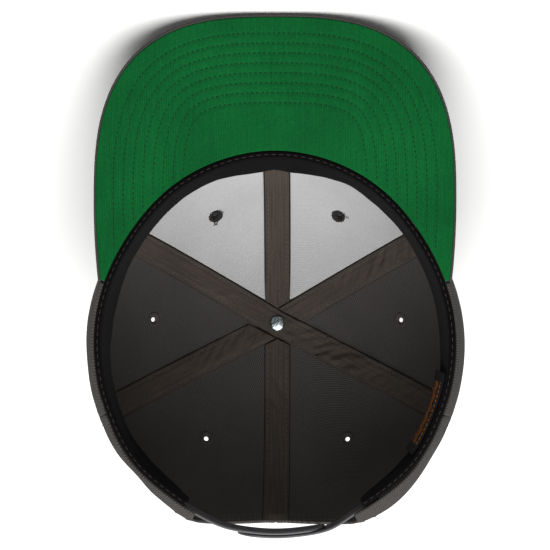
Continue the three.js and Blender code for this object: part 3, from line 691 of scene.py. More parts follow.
def panel_spot(panel, sign, angle, climb):
    """A point of a panel's outside, drawn in at its seams, with its place on the flat cloth."""
    radius, depth = meridian(angle, climb)
    swing = seam_swing(radius, -SEAM_LAP)
    share = (angle - panel.start) / (panel.end - panel.start)
    angle = lerp(panel.start + swing, panel.end - swing, share)
    off_seam = radius * min(abs(angle - panel.start), abs(panel.end - angle))
    off_stitches = off_seam - SEAM_STITCH_OFFSET
    sink = ROLL_DEPTH * bump(off_seam, 1.3 * MM) + STITCH_DIP * bump(off_stitches, 1.1 * MM)
    pucker = PUCKER_DEPTH * bump(off_stitches, 5 * MM)
    sink += pucker * (1 + noise.noise(Vector((depth / (5 * MM), radius / (9 * MM), sign + panel.start))))
    middle = (panel.start + panel.end) / 2
    spot = (sign * radius * (angle - middle), depth + (HEAD_RADIUS - radius))
    return crown_point(sign * angle, climb, sink), spot


def panel_block(panel, sign, start, end, lowest, to_rim=False):
    """A stretch of a panel between two angles. lowest() gives the depth of its lower edge at an angle, and
    past it the stretch may go on to the rim."""
    width = (end - start) * HEAD_RADIUS
    columns = max(4, round(width / PANEL_COLUMN_SIZE))

    def main(across, along):
        angle = lerp(start, end, across)
        foot = climb_at_depth(angle, lowest(angle))
        climb = climb_along(angle, foot, climb_at_radius(angle, APEX_HOLE_RADIUS), along)
        return panel_spot(panel, sign, angle, climb)

    def low(across, along):
        angle = lerp(start, end, across)
        depth = lerp(rim_depth(angle), lowest(angle), along)
        return panel_spot(panel, sign, angle, climb_at_depth(angle, depth))

    blocks = [grid(columns, PANEL_ROWS, main)]
    if to_rim:
        blocks.append(grid(columns, LOW_ROWS, low))
    return blocks


def under_visor(angle):
    """The depth at which a panel starts under the visor."""
    across = HEAD_RADIUS * math.sin(angle) / VISOR_HALF_WIDTH
    return VISOR_BOW * (1 - across ** 2) + VISOR_THICKNESS + GAP


def over_arch(angle):
    across = math.sin(angle) / math.sin(ARCH_SIDE)
    return ARCH_STRAIGHT + (ARCH_HEIGHT - ARCH_STRAIGHT) * math.sqrt(max(0, 1 - across ** 2))


def eyelet_seat(panel, sign):
    """Centre of a panel's eyelet on the cloth's outside, and the outward direction."""
    angle = sign * (panel.start + panel.end) / 2
    climb = climb_at_radius(angle, HEAD_RADIUS * column(angle).eyelet)
    return crown_point(angle, climb, 0), outside_normal(angle, climb)


def build_panel(panel, side, sign):
    if panel.name == "front":
        blocks = panel_block(panel, sign, panel.start, panel.end, under_visor)
    elif panel.name == "side":
        notch = VISOR_SPAN + math.radians(0.2)
        blocks = panel_block(panel, sign, panel.start, notch, under_visor)
        step = under_visor(notch)
        blocks += panel_block(panel, sign, notch, panel.end, lambda angle: step, True)
    else:
        blocks = panel_block(panel, sign, panel.start, ARCH_SIDE, lambda angle: ARCH_STRAIGHT, True)
        blocks += panel_block(panel, sign, ARCH_SIDE, panel.end, over_arch)
    bm = joined(blocks)
    bmesh.ops.remove_doubles(bm, verts=bm.verts, dist=0.05 * MM)
    face_away(bm, Vector((0, 0, -CROWN_HEIGHT / 2)))
    centre, axis = eyelet_seat(panel, sign)
    pierce(bm, centre, axis, EYELET_NECK_RADIUS + GAP / 2)
    piece(
        f"{panel.name}_{side}_panel", bm, BRUSHED_TWILL,
        [f"crown_{panel.name}_{side}"], thicken=PANEL_THICKNESS, soften=1,
    )


def build_lining(side, sign):
    panel = PANELS[0]
    inset = PANEL_THICKNESS + GAP

    def put(across, along):
        angle = lerp(panel.start, panel.end, across)
        start = climb_at_depth(angle, TRIM_START_DEPTH)
        climb = climb_along(angle, start, climb_at_radius(angle, LINING_TOP_RADIUS), along)
        radius, depth = meridian(angle, climb)
        swing = seam_swing(radius, TAPE_WIDTH / 2 + GAP)
        angle = lerp(panel.start + swing, panel.end - swing, across)
        spot = (sign * radius * (angle - panel.end / 2), depth + HEAD_RADIUS - radius)
        wave = LINING_SLACK * (1 + noise.noise(Vector((spot[0], spot[1], sign * 0.3)) * 55))
        return crown_point(sign * angle, climb, inset + wave * math.sin(math.pi * across)), spot

    bm = grid(40, 44, put)
    face_away(bm, Vector((0, 0, -CROWN_HEIGHT / 2)))
    centre, axis = eyelet_seat(panel, sign)
    pierce(bm, centre, axis, EYELET_NECK_RADIUS + GAP / 2)
    piece(
        f"front_{side}_lining", bm, INTERLINING,
        [f"lining_front_{side}"], thicken=LINING_THICKNESS, soften=1,
    )


# Seam tapes

TAPE_AROUND = 44
TAPE_STEP = 0.9 * MM
TAPE_TAPER = 3 * MM  # the length over which a tape's cut end at the rear opening thins out
DOME_CLOTH = 115 * MM  # the cloth's length from the crown's widest place to its axis
TAPE_BACK = PANEL_THICKNESS + 0.15 * MM
TAPE_EDGE_ON_LINING = 1.45 * MM  # a tape's edge lies on the lining where there is one
TAPE_EDGE_ON_PANEL = 0.6 * MM
CREASE_SPACING = 4.2 * MM
CREASE_SLANT = 0.9
CREASE_REACH = 24 * MM  # how far along the tape its creases spread


def tape_spot(angle, climb, offset, inset):
    """A point of a tape, a distance off its seam. Near the axis it keeps straight on across the dome."""
    radius, _ = meridian(angle, climb)
    if radius > 2 * TAPE_WIDTH:
        return crown_point(angle + math.asin(offset / radius), climb, inset)
    bearing = angle + math.atan2(offset, radius)
    return crown_point(bearing, climb_at_radius(bearing, math.hypot(radius, offset)), inset)


def tape_face(offset, place, edges, crumple, seed):
    """How far the tape's inner face stands off the panel: sewn down along its sides, full over the seam, with
    slanting creases where it was gathered in."""
    share = abs(offset) / (TAPE_WIDTH / 2)
    edge = lerp(edges[0], edges[1], smooth(offset / TAPE_WIDTH + 0.5))
    rise = lerp(edge, max(TAPE_RISE, edge), 1 - share ** 5)
    rise -= 0.5 * MM * bump(abs(offset) - SEAM_STITCH_OFFSET, 0.8 * MM)
    creases = Vector(((place + CREASE_SLANT * offset) / CREASE_SPACING, offset / (13 * MM), seed))
    fold = noise.noise(creases) + 0.6 * noise.noise(creases * 2.1)
    return rise + crumple * (1 - share ** 4) * fold


# folds are the depths of the creases on the near and far side of the axis, and crease_radius is their middle
Tape = namedtuple("Tape", "name angle back edges folds crease_radius cuts")


def tape_rows(angle):
    """The climbs along a seam from behind the sweatband, or from the rear opening, to the axis, at equal
    steps of cloth."""
    start_depth = ARCH_HEIGHT + 0.6 * MM if angle == math.pi else TRIM_START_DEPTH
    start = climb_at_depth(angle, start_depth)
    end = climb_at_radius(angle, 0.5 * MM)
    length = BULGE_DEPTH - start_depth + DOME_CLOTH
    count = round(length / TAPE_STEP)
    return [climb_along(angle, start, end, i / count) for i in range(count + 1)]


def build_tape(tape):
    """A tape and its two rows of stitches."""
    rows = [(tape.angle, climb, 1) for climb in tape_rows(tape.angle)]
    if tape.back is not None:
        rows += [(tape.back, climb, -1) for climb in reversed(tape_rows(tape.back))]
    seed = 3 * tape.angle + 1
    cuts = [sideways(angle) * sign for angle, sign in tape.cuts]

    def face(i, offset):
        angle, climb, way = rows[i]
        radius, _ = meridian(angle, climb)
        depth = tape.folds[0 if way > 0 else 1]
        crumple = depth * (0.3 + bump(radius - tape.crease_radius, CREASE_REACH))
        full = smooth(i * TAPE_STEP / TAPE_TAPER) if tape.angle == math.pi else 1
        return PANEL_THICKNESS + GAP + full * tape_face(offset, i * TAPE_STEP, tape.edges, crumple, seed)

    def put(around, along):
        i = round(along * (len(rows) - 1))
        angle, climb, way = rows[i]
        share = 2 * around if around <= 0.5 else 2 - 2 * around
        offset = TAPE_WIDTH * (share - 0.5)
        inset = face(i, offset) if 0 < around < 0.5 else TAPE_BACK
        return tape_spot(angle, climb, way * offset, inset), (offset, i * TAPE_STEP)

    bm = close(grid(TAPE_AROUND, len(rows) - 1, put))
    for away in cuts:
        trim(bm, away * -(TAPE_WIDTH / 2 + GAP), away)
    bmesh.ops.recalc_face_normals(bm, faces=bm.faces)
    piece(f"{tape.name}_tape", bm, SEAM_TAPE, [f"tape_{tape.name}"])
    sewn = []
    for offset in (-SEAM_STITCH_OFFSET, SEAM_STITCH_OFFSET):
        line = []
        for i, (angle, climb, way) in enumerate(rows):
            place = tape_spot(angle, climb, way * offset, face(i, offset) + 0.1 * MM)
            kept = all(place.dot(away) < -(TAPE_WIDTH / 2 + 2 * MM) for away in cuts)
            if kept and place.xy.length > BUTTON_RADIUS:
                line.append((place, -outside_normal(angle, climb)))
            elif line:
                sewn.append(line)
                line = []
        sewn.append(line)
    return [stitches(line, TAPE_STITCH) for line in sewn if len(line) > 1]


FRONT_SEAM, REAR_SEAM = SEAMS[1], SEAMS[2]
TAPES = [
    Tape("crossing", FRONT_SEAM, -REAR_SEAM, (TAPE_EDGE_ON_LINING, TAPE_EDGE_ON_PANEL),
         (0.4 * MM, 2.2 * MM), 42 * MM, ()),
    Tape("front_left", -FRONT_SEAM, None, (TAPE_EDGE_ON_PANEL, TAPE_EDGE_ON_LINING),
         (1.5 * MM, 0), 74 * MM, ((-REAR_SEAM, -1), (FRONT_SEAM, 1))),
    Tape("rear_right", REAR_SEAM, None, (TAPE_EDGE_ON_PANEL, TAPE_EDGE_ON_PANEL),
         (1.6 * MM, 0), 30 * MM, ((FRONT_SEAM, -1), (-REAR_SEAM, 1))),
    Tape("front_middle", 0, None, (TAPE_EDGE_ON_LINING, TAPE_EDGE_ON_LINING),
         (0.15 * MM, 0), 74 * MM, ((-FRONT_SEAM, -1), (FRONT_SEAM, 1))),
    Tape("rear_middle", math.pi, None, (TAPE_EDGE_ON_PANEL, TAPE_EDGE_ON_PANEL),
         (0.6 * MM, 0), 30 * MM, ((REAR_SEAM, -1), (-REAR_SEAM, 1))),
]

# The visor

visor_end = outward(VISOR_SPAN) * (HEAD_RADIUS * column(VISOR_SPAN).rim)
RIM_FRONT = HEAD_RADIUS * FIRST.rim
VISOR_HALF_WIDTH = visor_end.x + VISOR_SHOULDER + VISOR_TAPER


def visor_edge(angle):
    """Polar radius of the visor's outline from the button's axis."""
    widest = VISOR_WIDEST - RIM_FRONT
    length = VISOR_REACH + VISOR_WIDEST

    def beyond(radius):
        x, y, _ = outward(angle) * radius
        back = max(0, (y - widest) / (visor_end.y - widest))
        half_width = VISOR_HALF_WIDTH - VISOR_TAPER * back ** 2
        ahead = max(0, widest - y) / length
        return (abs(x) / half_width) ** VISOR_CORNER_POWER + ahead ** VISOR_CORNER_POWER > 1

    inside, outer = 0, 2 * (RIM_FRONT + VISOR_REACH)
    for _ in range(40):
        middle = (inside + outer) / 2
        if beyond(middle):
            outer = middle
        else:
            inside = middle
    return inside


OUTLINE_STEPS = 900
OUTLINE = [
    outward(angle) * visor_edge(angle)
    for angle in (VISOR_SPAN * 1.12 * (2 * i / OUTLINE_STEPS - 1) for i in range(OUTLINE_STEPS + 1))
]
outline_tree = KDTree(len(OUTLINE))
for index, point in enumerate(OUTLINE):
    outline_tree.insert(point, index)
outline_tree.balance()
VISOR_ROWS = 210
VISOR_ACROSS = 110
STITCH_OFFSETS = [VISOR_FIRST_STITCH + i * VISOR_STITCH_SPACING for i in range(VISOR_STITCH_ROWS)]


def from_edge(point):
    """Distance of a point of the visor from its edge."""
    flat = Vector((point.x, point.y, 0))
    _, _, near = outline_tree.find(flat)
    return near


def quilting(distance):
    """How far the cloth is drawn in by the nearest row of stitches, with the cloth between them full."""
    nearest = min(abs(distance - offset) for offset in STITCH_OFFSETS)
    return 0.28 * MM * bump(nearest, 0.9 * MM)


def visor_height(x):
    return -VISOR_BOW * (1 - (x / VISOR_HALF_WIDTH) ** 2)


def visor_point(angle, share, off, height, sink=0):
    start = HEAD_RADIUS * column(angle).rim - PANEL_THICKNESS
    point = outward(angle) * (lerp(start, visor_edge(angle), share) - off)
    if sink:
        height += sink * quilting(from_edge(point))
    point.z = visor_height(point.x) - height
    return point


def visor_shell(profile, span, fine, sink):
    """A closed solid of the visor. Its profile's legs are (share, off, height) points, and the leg that
    starts at the point fine has the columns that hold the quilting."""
    corners = profile + [profile[0]]
    stations = []
    for i, (a, b) in enumerate(zip(corners, corners[1:])):
        steps = VISOR_ACROSS if i == fine else (18 if abs(a[0] - b[0]) > 0.5 else 1)
        for step in range(steps):
            share = step / steps
            stations.append((*(lerp(p, q, share) for p, q in zip(a, b)), sink if i == fine else 0))
    stations.append(stations[0])

    def put(around, along):
        share, off, height, dip = stations[round(around * (len(stations) - 1))]
        point = visor_point(span * (2 * along - 1), share, off, height, dip)
        return point, (point.x, point.y)

    return close(grid(len(stations) - 1, VISOR_ROWS, put))


def build_visor():
    floor = VISOR_UNDER_THICKNESS + GAP
    round_off = VISOR_THICKNESS / 4
    cover = visor_shell([
        (1, VISOR_LIP, floor),
        (1, VISOR_LIP, 0.1 * MM),
        (1, VISOR_LIP * 0.75, 0),
        (1, round_off * 0.5, 0.05 * MM),
        (1, 0.12 * round_off, round_off * 0.6),
        (1, 0, round_off * 1.4),
        (1, 0, VISOR_THICKNESS - round_off * 1.4),
        (1, 0.2 * round_off, VISOR_THICKNESS - round_off * 0.5),
        (1, round_off, VISOR_THICKNESS),
        (0, 0, VISOR_THICKNESS),
        (0, 0, floor),
    ], VISOR_SPAN, 8, -1)
    piece("visor_cover", cover, VISOR_TWILL, ["visor_top"])
    edge = VISOR_LIP + 0.1 * MM
    under = visor_shell([
        (0, 0, 0),
        (1, edge + 0.5 * MM, 0),
        (1, edge, 0.35 * MM),
        (1, edge, VISOR_UNDER_THICKNESS),
        (0, 0, VISOR_UNDER_THICKNESS),
    ], VISOR_SPAN - math.radians(0.4), 0, 1)
    piece("visor_under_cloth", under, GREEN_POPLIN, ["visor_under"])


def quilting_line(offset, height, up):
    """A row of the visor's stitches, at a distance from its edge, as (point, normal) pairs."""
    line = []
    for i in range(1, len(OUTLINE) - 1):
        along = (OUTLINE[i + 1] - OUTLINE[i - 1]).normalized()
        point = OUTLINE[i] + Vector((-along.y, along.x, 0)) * offset
        angle = math.atan2(point.x, -point.y)
        if abs(angle) > VISOR_SPAN or point.length < HEAD_RADIUS * column(angle).rim + 0.5 * MM:
            continue
        if from_edge(point) < offset - 0.1 * MM:
            continue
        point.z = visor_height(point.x) - height
        line.append((point, Vector((0, 0, up))))
    return line


def build_visor_stitches():
    sunk = 0.24 * MM
    under = [stitches(quilting_line(offset, sunk, 1), VISOR_UNDER_STITCH) for offset in STITCH_OFFSETS]
    piece("visor_under_stitches", joined(under), GREEN_THREAD)
    top = [
        stitches(quilting_line(offset, VISOR_THICKNESS - sunk, -1), VISOR_TOP_STITCH)
        for offset in STITCH_OFFSETS
    ]
    piece("visor_top_stitches", joined(top), CHARCOAL_THREAD)


# Sweatband and label

HEM_START = PANEL_THICKNESS + GAP
HEM_END = HEM_START + HEM_WIDTH
BAND_STEP = 1.5 * MM
BAND_SLACK = 0.9 * MM  # how far its free edge strays in long waves, and in short ones
BAND_RIPPLE = 0.25 * MM
BAND_TUCK = 1.2 * MM  # drawn back to the crown at the front


def rim_line(angle, inset, depth):
    """A point beside the rim: inset horizontally inwards, and a depth below it."""
    step = 1e-3
    ends = [outward(a) * (HEAD_RADIUS * column(a).rim) for a in (angle - step, angle + step)]
    along = (ends[1] - ends[0]).normalized()
    point = (ends[0] + ends[1]) / 2 + Vector((-along.y, along.x, 0)) * inset
    point.z = -rim_depth(angle) - depth
    return point


def band_inset(angle, depth):
    """How far in from the rim the sweatband's inner face lies at a depth, with the slack of its free edge."""
    lean = HEAD_RADIUS * column(angle).lean - HEM_END
    down = (depth - HEM_HEIGHT) / (BAND_HEIGHT - HEM_HEIGHT)
    slack = BAND_SLACK * noise.noise(outward(angle) * 3.15) + BAND_RIPPLE * noise.noise(outward(angle) * 11.7)
    tuck = BAND_TUCK * bump(math.degrees(angle), 4)
    return HEM_END + lean * down + (slack - tuck) * down ** 1.5


def hem_section():
    """The hem's section, as (inset, depth) rows."""
    roll = [
        (HEM_START, HEM_HEIGHT * 0.5), (HEM_START, 0.6 * MM), (HEM_START + 0.3 * MM, 0),
        (HEM_START + 0.9 * MM, -HEM_PROUD), (HEM_START + 1.5 * MM, -HEM_PROUD * 0.8),
        (HEM_END - 1.1 * MM, -HEM_PROUD * 0.8), (HEM_END - 0.5 * MM, -HEM_PROUD * 0.5), (HEM_END, 0.5 * MM),
        (HEM_END, 1.6 * MM), (HEM_END - 0.7 * MM, 2.6 * MM), (HEM_END - 0.75 * MM, 3.4 * MM),
    ]
    return roll


BAND_FACE_STEPS = 16


def build_sweatband():
    roll = hem_section()
    length = 2 * BAND_END * HEAD_RADIUS
    rows = round(length / BAND_STEP)
    steps = BAND_FACE_STEPS
    face = [lerp(HEM_HEIGHT, BAND_HEIGHT - 0.5 * MM, (i + 1) / steps) for i in range(steps)]
    back = [lerp(BAND_HEIGHT - 0.4 * MM, HEM_HEIGHT, i / steps) for i in range(steps + 1)]
    section = [("hem", *place) for place in roll]
    section += [("face", 0, depth) for depth in face]
    section += [("edge", 0.5, BAND_HEIGHT)]
    section += [("back", 0, depth) for depth in back]
    section.append(section[0])

    def put(around, along):
        angle = lerp(-BAND_END, BAND_END, along)
        kind, inset, depth = section[round(around * (len(section) - 1))]
        if kind == "face":
            inset = band_inset(angle, depth)
        elif kind == "edge":
            inset = band_inset(angle, depth) - BAND_THICKNESS / 2
        elif kind == "back":
            inset = band_inset(angle, depth) - BAND_THICKNESS
        return rim_line(angle, inset, depth), (angle * HEAD_RADIUS, around * 0.075)

    bm = close(grid(len(section) - 1, rows, put))
    piece("sweatband_cloth", bm, SWEATBAND_TWILL, ["sweatband"])
    hem = HEM_START + 1.75 * MM
    line = [(rim_line(a, hem, -HEM_PROUD * 0.8), Vector((0, 0, 1))) for a in band_angles(BAND_END, 0.5)]
    piece("sweatband_hem_stitches", stitches(line, HEM_STITCH), GREY_THREAD)


def band_angles(end, step):
    """Angles from one end of the band to the other, a step in degrees apart."""
    count = round(2 * math.degrees(end) / step)
    return [lerp(-end, end, i / count) for i in range(count + 1)]


LABEL_SIZE = ((LABEL_END - LABEL_START) * HEAD_RADIUS * 1.02, BAND_HEIGHT - HEM_HEIGHT)


def label_face(angle, depth):
    foot = band_inset(angle, HEM_HEIGHT) + GAP
    free = band_inset(angle, BAND_HEIGHT) + LABEL_LEAN
    down = (depth - HEM_HEIGHT) / (BAND_HEIGHT - HEM_HEIGHT)
    belly = 0.8 * MM * math.sin(math.pi * down)
    return lerp(foot, free, down) + belly


def build_label():
    across = 16
    depths = [lerp(HEM_HEIGHT, BAND_HEIGHT, i / across) for i in range(across + 1)]
    section = [(depth, LABEL_THICKNESS) for depth in depths] + [(depth, 0) for depth in reversed(depths)]
    section.append(section[0])

    def put(around, along):
        angle = lerp(-LABEL_END, -LABEL_START, along)
        depth, proud = section[round(around * (len(section) - 1))]
        spot = (along * LABEL_SIZE[0], depth - HEM_HEIGHT)
        return rim_line(angle, label_face(angle, depth) + proud, depth), spot

    piece("woven_label", close(grid(len(section) - 1, 34, put)), label_damask(), ["label"])


# The strap

STRAP_LINE_SPREAD = 0.35 * math.pi
STRAP_LINE_STEPS = 400
strap_angles = [
    math.pi + STRAP_LINE_SPREAD * (2 * i / STRAP_LINE_STEPS - 1) for i in range(STRAP_LINE_STEPS + 1)
]
strap_lengths = [0]
for a, b in zip(strap_angles, strap_angles[1:]):
    step = rim_line(b, STRAP_INSET, 0) - rim_line(a, STRAP_INSET, 0)
    strap_lengths.append(strap_lengths[-1] + step.length)
strap_middle = strap_lengths[STRAP_LINE_STEPS // 2]
strap_lengths = [length - strap_middle for length in strap_lengths]
arch_edge = next(
    length for angle, length in zip(strap_angles, strap_lengths)
    if angle > math.pi and abs(rim_line(angle, STRAP_INSET, 0).x) > ARCH_HALF_WIDTH
)
PEG_END = STRAP_OVERLAP_SHIFT + STRAP_OVERLAP / 2
HOLE_END = STRAP_OVERLAP_SHIFT - STRAP_OVERLAP / 2
OUTER_STRAP_INSET = STRAP_INSET - STRAP_THICKNESS - STRAP_FACE_GAP
SNAPS = [SNAP_END_MARGIN + SNAP_PITCH * i for i in range(SNAP_COUNT)]
STRAP_STEP = 1.2 * MM
STRAP_EDGE = 0.3 * MM  # the rounding of the strap's edges


def strap_angle(distance):
    i = next((i for i in range(1, STRAP_LINE_STEPS) if strap_lengths[i] >= distance), STRAP_LINE_STEPS)
    share = (distance - strap_lengths[i - 1]) / (strap_lengths[i] - strap_lengths[i - 1])
    return lerp(strap_angles[i - 1], strap_angles[i], share)


def outer_face(distance):
    start = PEG_END + GAP
    return lerp(OUTER_STRAP_INSET, STRAP_INSET, smooth((distance - start) / STRAP_STEP_LENGTH))


def strap_bow(distance):
    """How far the strap's own spring bows it out of the rim's line, most beside its overlap."""
    return 0.8 * MM * bump(distance, 22 * MM) + 1 * MM * bump(abs(distance) - 27 * MM, 13 * MM)


def strap_band(hidden, free, face):
    """A strap from its hidden end to its rounded free end, with softened edges and a low raised border."""
    half_width = STRAP_WIDTH / 2
    way = math.copysign(1, free - hidden)
    straight_end = free - way * half_width
    count = round(abs(straight_end - hidden) / STRAP_STEP)
    distances = [lerp(hidden, straight_end, i / count) for i in range(count)]
    distances += [straight_end + way * half_width * math.sin(0.985 * math.pi / 2 * i / 14) for i in range(15)]
    thick = STRAP_THICKNESS
    rounded = [
        (-1, 0.5 * thick), (-1, STRAP_EDGE), (-0.985, 0.08 * MM), (-0.95, 0), (-0.86, 0), (-0.84, 0.14 * MM),
        (-0.5, 0.14 * MM), (0, 0.14 * MM), (0.5, 0.14 * MM), (0.84, 0.14 * MM), (0.86, 0), (0.95, 0),
        (0.985, 0.08 * MM), (1, STRAP_EDGE), (1, thick - STRAP_EDGE), (0.97, thick), (0.5, thick), (0, thick),
        (-0.5, thick), (-0.97, thick), (-1, thick - STRAP_EDGE), (-1, 0.5 * thick),
    ]

    def put(around, along):
        distance = distances[round(along * (len(distances) - 1))]
        share, deep = rounded[round(around * (len(rounded) - 1))]
        past = max(0, way * (distance - straight_end)) / half_width
        half = half_width * math.sqrt(max(0, 1 - past ** 2))
        depth = STRAP_DEPTH + half_width + share * half
        inset = face(distance) - strap_bow(distance) + deep
        return rim_line(strap_angle(distance), inset, depth), (distance, share * half)

    return close(grid(len(rounded) - 1, len(distances) - 1, put))


def pin_seat(distance, inset):
    """A place on the strap's middle line, and its outward direction."""
    depth = STRAP_DEPTH + STRAP_WIDTH / 2
    angle = strap_angle(distance)
    near, far = rim_line(angle, inset, depth), rim_line(angle, inset - STRAP_THICKNESS, depth)
    return near, (far - near).normalized()


def build_straps():
    plastic = strap_plastic()
    pegs = [strap_band(-arch_edge - STRAP_HIDDEN, PEG_END, lambda distance: STRAP_INSET)]
    reach = STRAP_THICKNESS / 2 + STRAP_INSET - OUTER_STRAP_INSET + PEG_PROUD
    for snap in SNAPS:
        profile = [
            (0, 0), (PEG_RADIUS * 0.72, 0), (PEG_RADIUS * 0.72, reach * 0.55), (PEG_RADIUS, reach * 0.72),
            (PEG_RADIUS, reach * 0.86), (PEG_RADIUS * 0.8, reach * 0.97), (PEG_RADIUS * 0.4, reach),
            (0, reach),
        ]
        spot = PEG_END - snap
        centre, out = pin_seat(spot, STRAP_INSET - strap_bow(spot) + STRAP_THICKNESS / 2)
        pegs.append(seated(turned(profile, 20), centre, out))
    piece("peg_strap", joined(pegs), plastic, ["strap_pegs"])
    band = strap_band(arch_edge + STRAP_HIDDEN, HOLE_END, outer_face)
    strap = piece("hole_strap", band, plastic, ["strap_holes"])
    cutters = []
    for snap in SNAPS:
        spot = HOLE_END + snap
        centre, out = pin_seat(spot, outer_face(spot) - strap_bow(spot))
        far = 3 * STRAP_THICKNESS
        profile = [(0, -far), (HOLE_RADIUS, -far), (HOLE_RADIUS, far), (0, far)]
        cutters.append(seated(turned(profile, 24), centre, out))
    cut_out(strap, joined(cutters))


def cut_out(obj, cutter_bm):
    """Cuts a mesh in the cap's frame out of a finished piece, for good."""
    bmesh.ops.transform(cutter_bm, matrix=CAP, verts=cutter_bm.verts)
    mesh = bpy.data.meshes.new("cutter")
    cutter_bm.to_mesh(mesh)
    cutter_bm.free()
    cutter = bpy.data.objects.new("cutter", mesh)
    bpy.context.scene.collection.objects.link(cutter)
    difference = obj.modifiers.new("cut", "BOOLEAN")
    difference.operation = "DIFFERENCE"
    difference.solver = "EXACT"
    difference.object = cutter
    graph = bpy.context.evaluated_depsgraph_get()
    result = bpy.data.meshes.new_from_object(obj.evaluated_get(graph))
    obj.modifiers.clear()
    obj.data = result
    bpy.data.objects.remove(cutter)


# Eyelets, button and rivet

EYELET_THREADS = 34
EYELET_STEPS = 136
EYELET_WAIST_RADIUS = 1.25 * MM
EYELET_FACE_RADIUS = 2.55 * MM  # the threads slope from here down into the hole
EYELET_CREST = 0.5 * MM  # of the threads over the cloth
LINED_EYELET_EXTRA = 0.3 * MM  # the slack between a front panel and its lining


def embroidered_ring(cloth):
    """An eyelet's ring of satin stitches through the cloth: its threads are ridges that run outwards."""
    half = cloth / 2
    crest = half + EYELET_CREST
    outer = [
        (EYELET_NECK_RADIUS, half + 0.05 * MM), (EYELET_FLANGE_RADIUS, half + 0.05 * MM),
        (EYELET_FLANGE_RADIUS * 0.96, lerp(half, crest, 0.55)),
        (EYELET_FLANGE_RADIUS * 0.86, lerp(half, crest, 0.95)),
        (EYELET_FACE_RADIUS * 1.15, crest), (EYELET_FACE_RADIUS, lerp(half, crest, 0.6)),
        (lerp(EYELET_WAIST_RADIUS, EYELET_FACE_RADIUS, 0.55), half * 0.6),
        (lerp(EYELET_WAIST_RADIUS, EYELET_FACE_RADIUS, 0.15), half * 0.25),
    ]
    profile = outer + [(EYELET_WAIST_RADIUS, 0)] + [(radius, -height) for radius, height in reversed(outer)]
    bm = turned(profile + [profile[0]], EYELET_STEPS)
    for vert in bm.verts:
        turn = math.atan2(vert.co.y, vert.co.x)
        radius = vert.co.xy.length
        height = vert.co.z
        ridge = 0.5 + 0.5 * math.cos(turn * EYELET_THREADS)
        ragged = noise.noise(Vector((math.cos(turn) * 6, math.sin(turn) * 6, math.copysign(3, height))))
        outwards = max(0, (radius - EYELET_WAIST_RADIUS) / (EYELET_FLANGE_RADIUS - EYELET_WAIST_RADIUS))
        vert.co.xy *= 1 + (0.2 * ridge + 0.7 * ragged) * outwards ** 2 * MM / radius
        if abs(height) > half + 0.1 * MM:
            vert.co.z += math.copysign(0.18 * MM * ridge, height)
    seat = Vector((0, 0, -half))
    bmesh.ops.translate(bm, vec=seat, verts=bm.verts)
    return bm


LOOSE_THREAD_RADIUS = 0.19 * MM


def loose_end(centre, axis, start_turn, length, curl):
    """A loose end of embroidery thread that lies on the lining beside an eyelet."""
    bm = bmesh.new()
    side = axis.orthogonal().normalized()
    spots = []
    for i in range(9):
        share = i / 8
        turn = start_turn + curl * share
        away = side.copy()
        away.rotate(Matrix.Rotation(turn, 3, axis))
        reach = EYELET_FLANGE_RADIUS * 0.85 + length * share
        spots.append(centre + away * reach - axis * (0.35 * MM + 0.5 * MM * math.sin(math.pi * share)))
    for a, b in zip(spots, spots[1:]):
        way = b - a
        turn = Vector((0, 0, 1)).rotation_difference(way).to_matrix().to_4x4()
        place = Matrix.Translation((a + b) / 2) @ turn
        bmesh.ops.create_cone(
            bm, cap_ends=True, segments=6, radius1=LOOSE_THREAD_RADIUS, radius2=LOOSE_THREAD_RADIUS,
            depth=way.length * 1.1, matrix=place,
        )
    return bm


LOOSE_ENDS = {  # for each front eyelet, (turn in degrees, length, curl in degrees)
    "left": [(25, 3 * MM, 25), (60, 1.6 * MM, -50)],
    "right": [(118, 2.6 * MM, 30), (162, 2.4 * MM, -35), (300, 1.2 * MM, 80)],
}


def build_eyelets():
    for side, sign in SIDES.items():
        for panel in PANELS:
            centre, axis = eyelet_seat(panel, sign)
            cloth = PANEL_THICKNESS
            if panel.name == "front":
                cloth += GAP + LINING_THICKNESS + LINED_EYELET_EXTRA
            parts = [seated(embroidered_ring(cloth), centre, axis)]
            if panel.name == "front":
                inner = centre - axis * (cloth + GAP)
                parts += [
                    loose_end(inner, axis, math.radians(turn), length, math.radians(curl))
                    for turn, length, curl in LOOSE_ENDS[side]
                ]
            thread = BLACK_THREAD if panel.name == "front" else DARK_GREY_THREAD
            piece(
                f"{panel.name}_{side}_eyelet", joined(parts), thread,
                [f"eyelet_{panel.name}_{side}"],
            )


def build_button():
    base = -(CROWN_HEIGHT + GAP)
    steps = 12
    profile = [(0, base), (BUTTON_RADIUS * 0.9, base), (BUTTON_RADIUS, base - 0.5 * MM)]
    for i in range(steps):
        turn = i / steps * math.pi / 2
        height = lerp(1.4 * MM, BUTTON_HEIGHT, math.sin(turn))
        profile.append((BUTTON_RADIUS * math.cos(turn), base - height))
    profile.append((0, base - BUTTON_HEIGHT))
    bm = turned(profile, 48)
    cloth = bm.loops.layers.uv.new("cloth")
    for face in bm.faces:
        for loop in face.loops:
            loop[cloth].uv = loop.vert.co.xy
    piece("top_button_cloth", bm, BRUSHED_TWILL, ["top_button"])


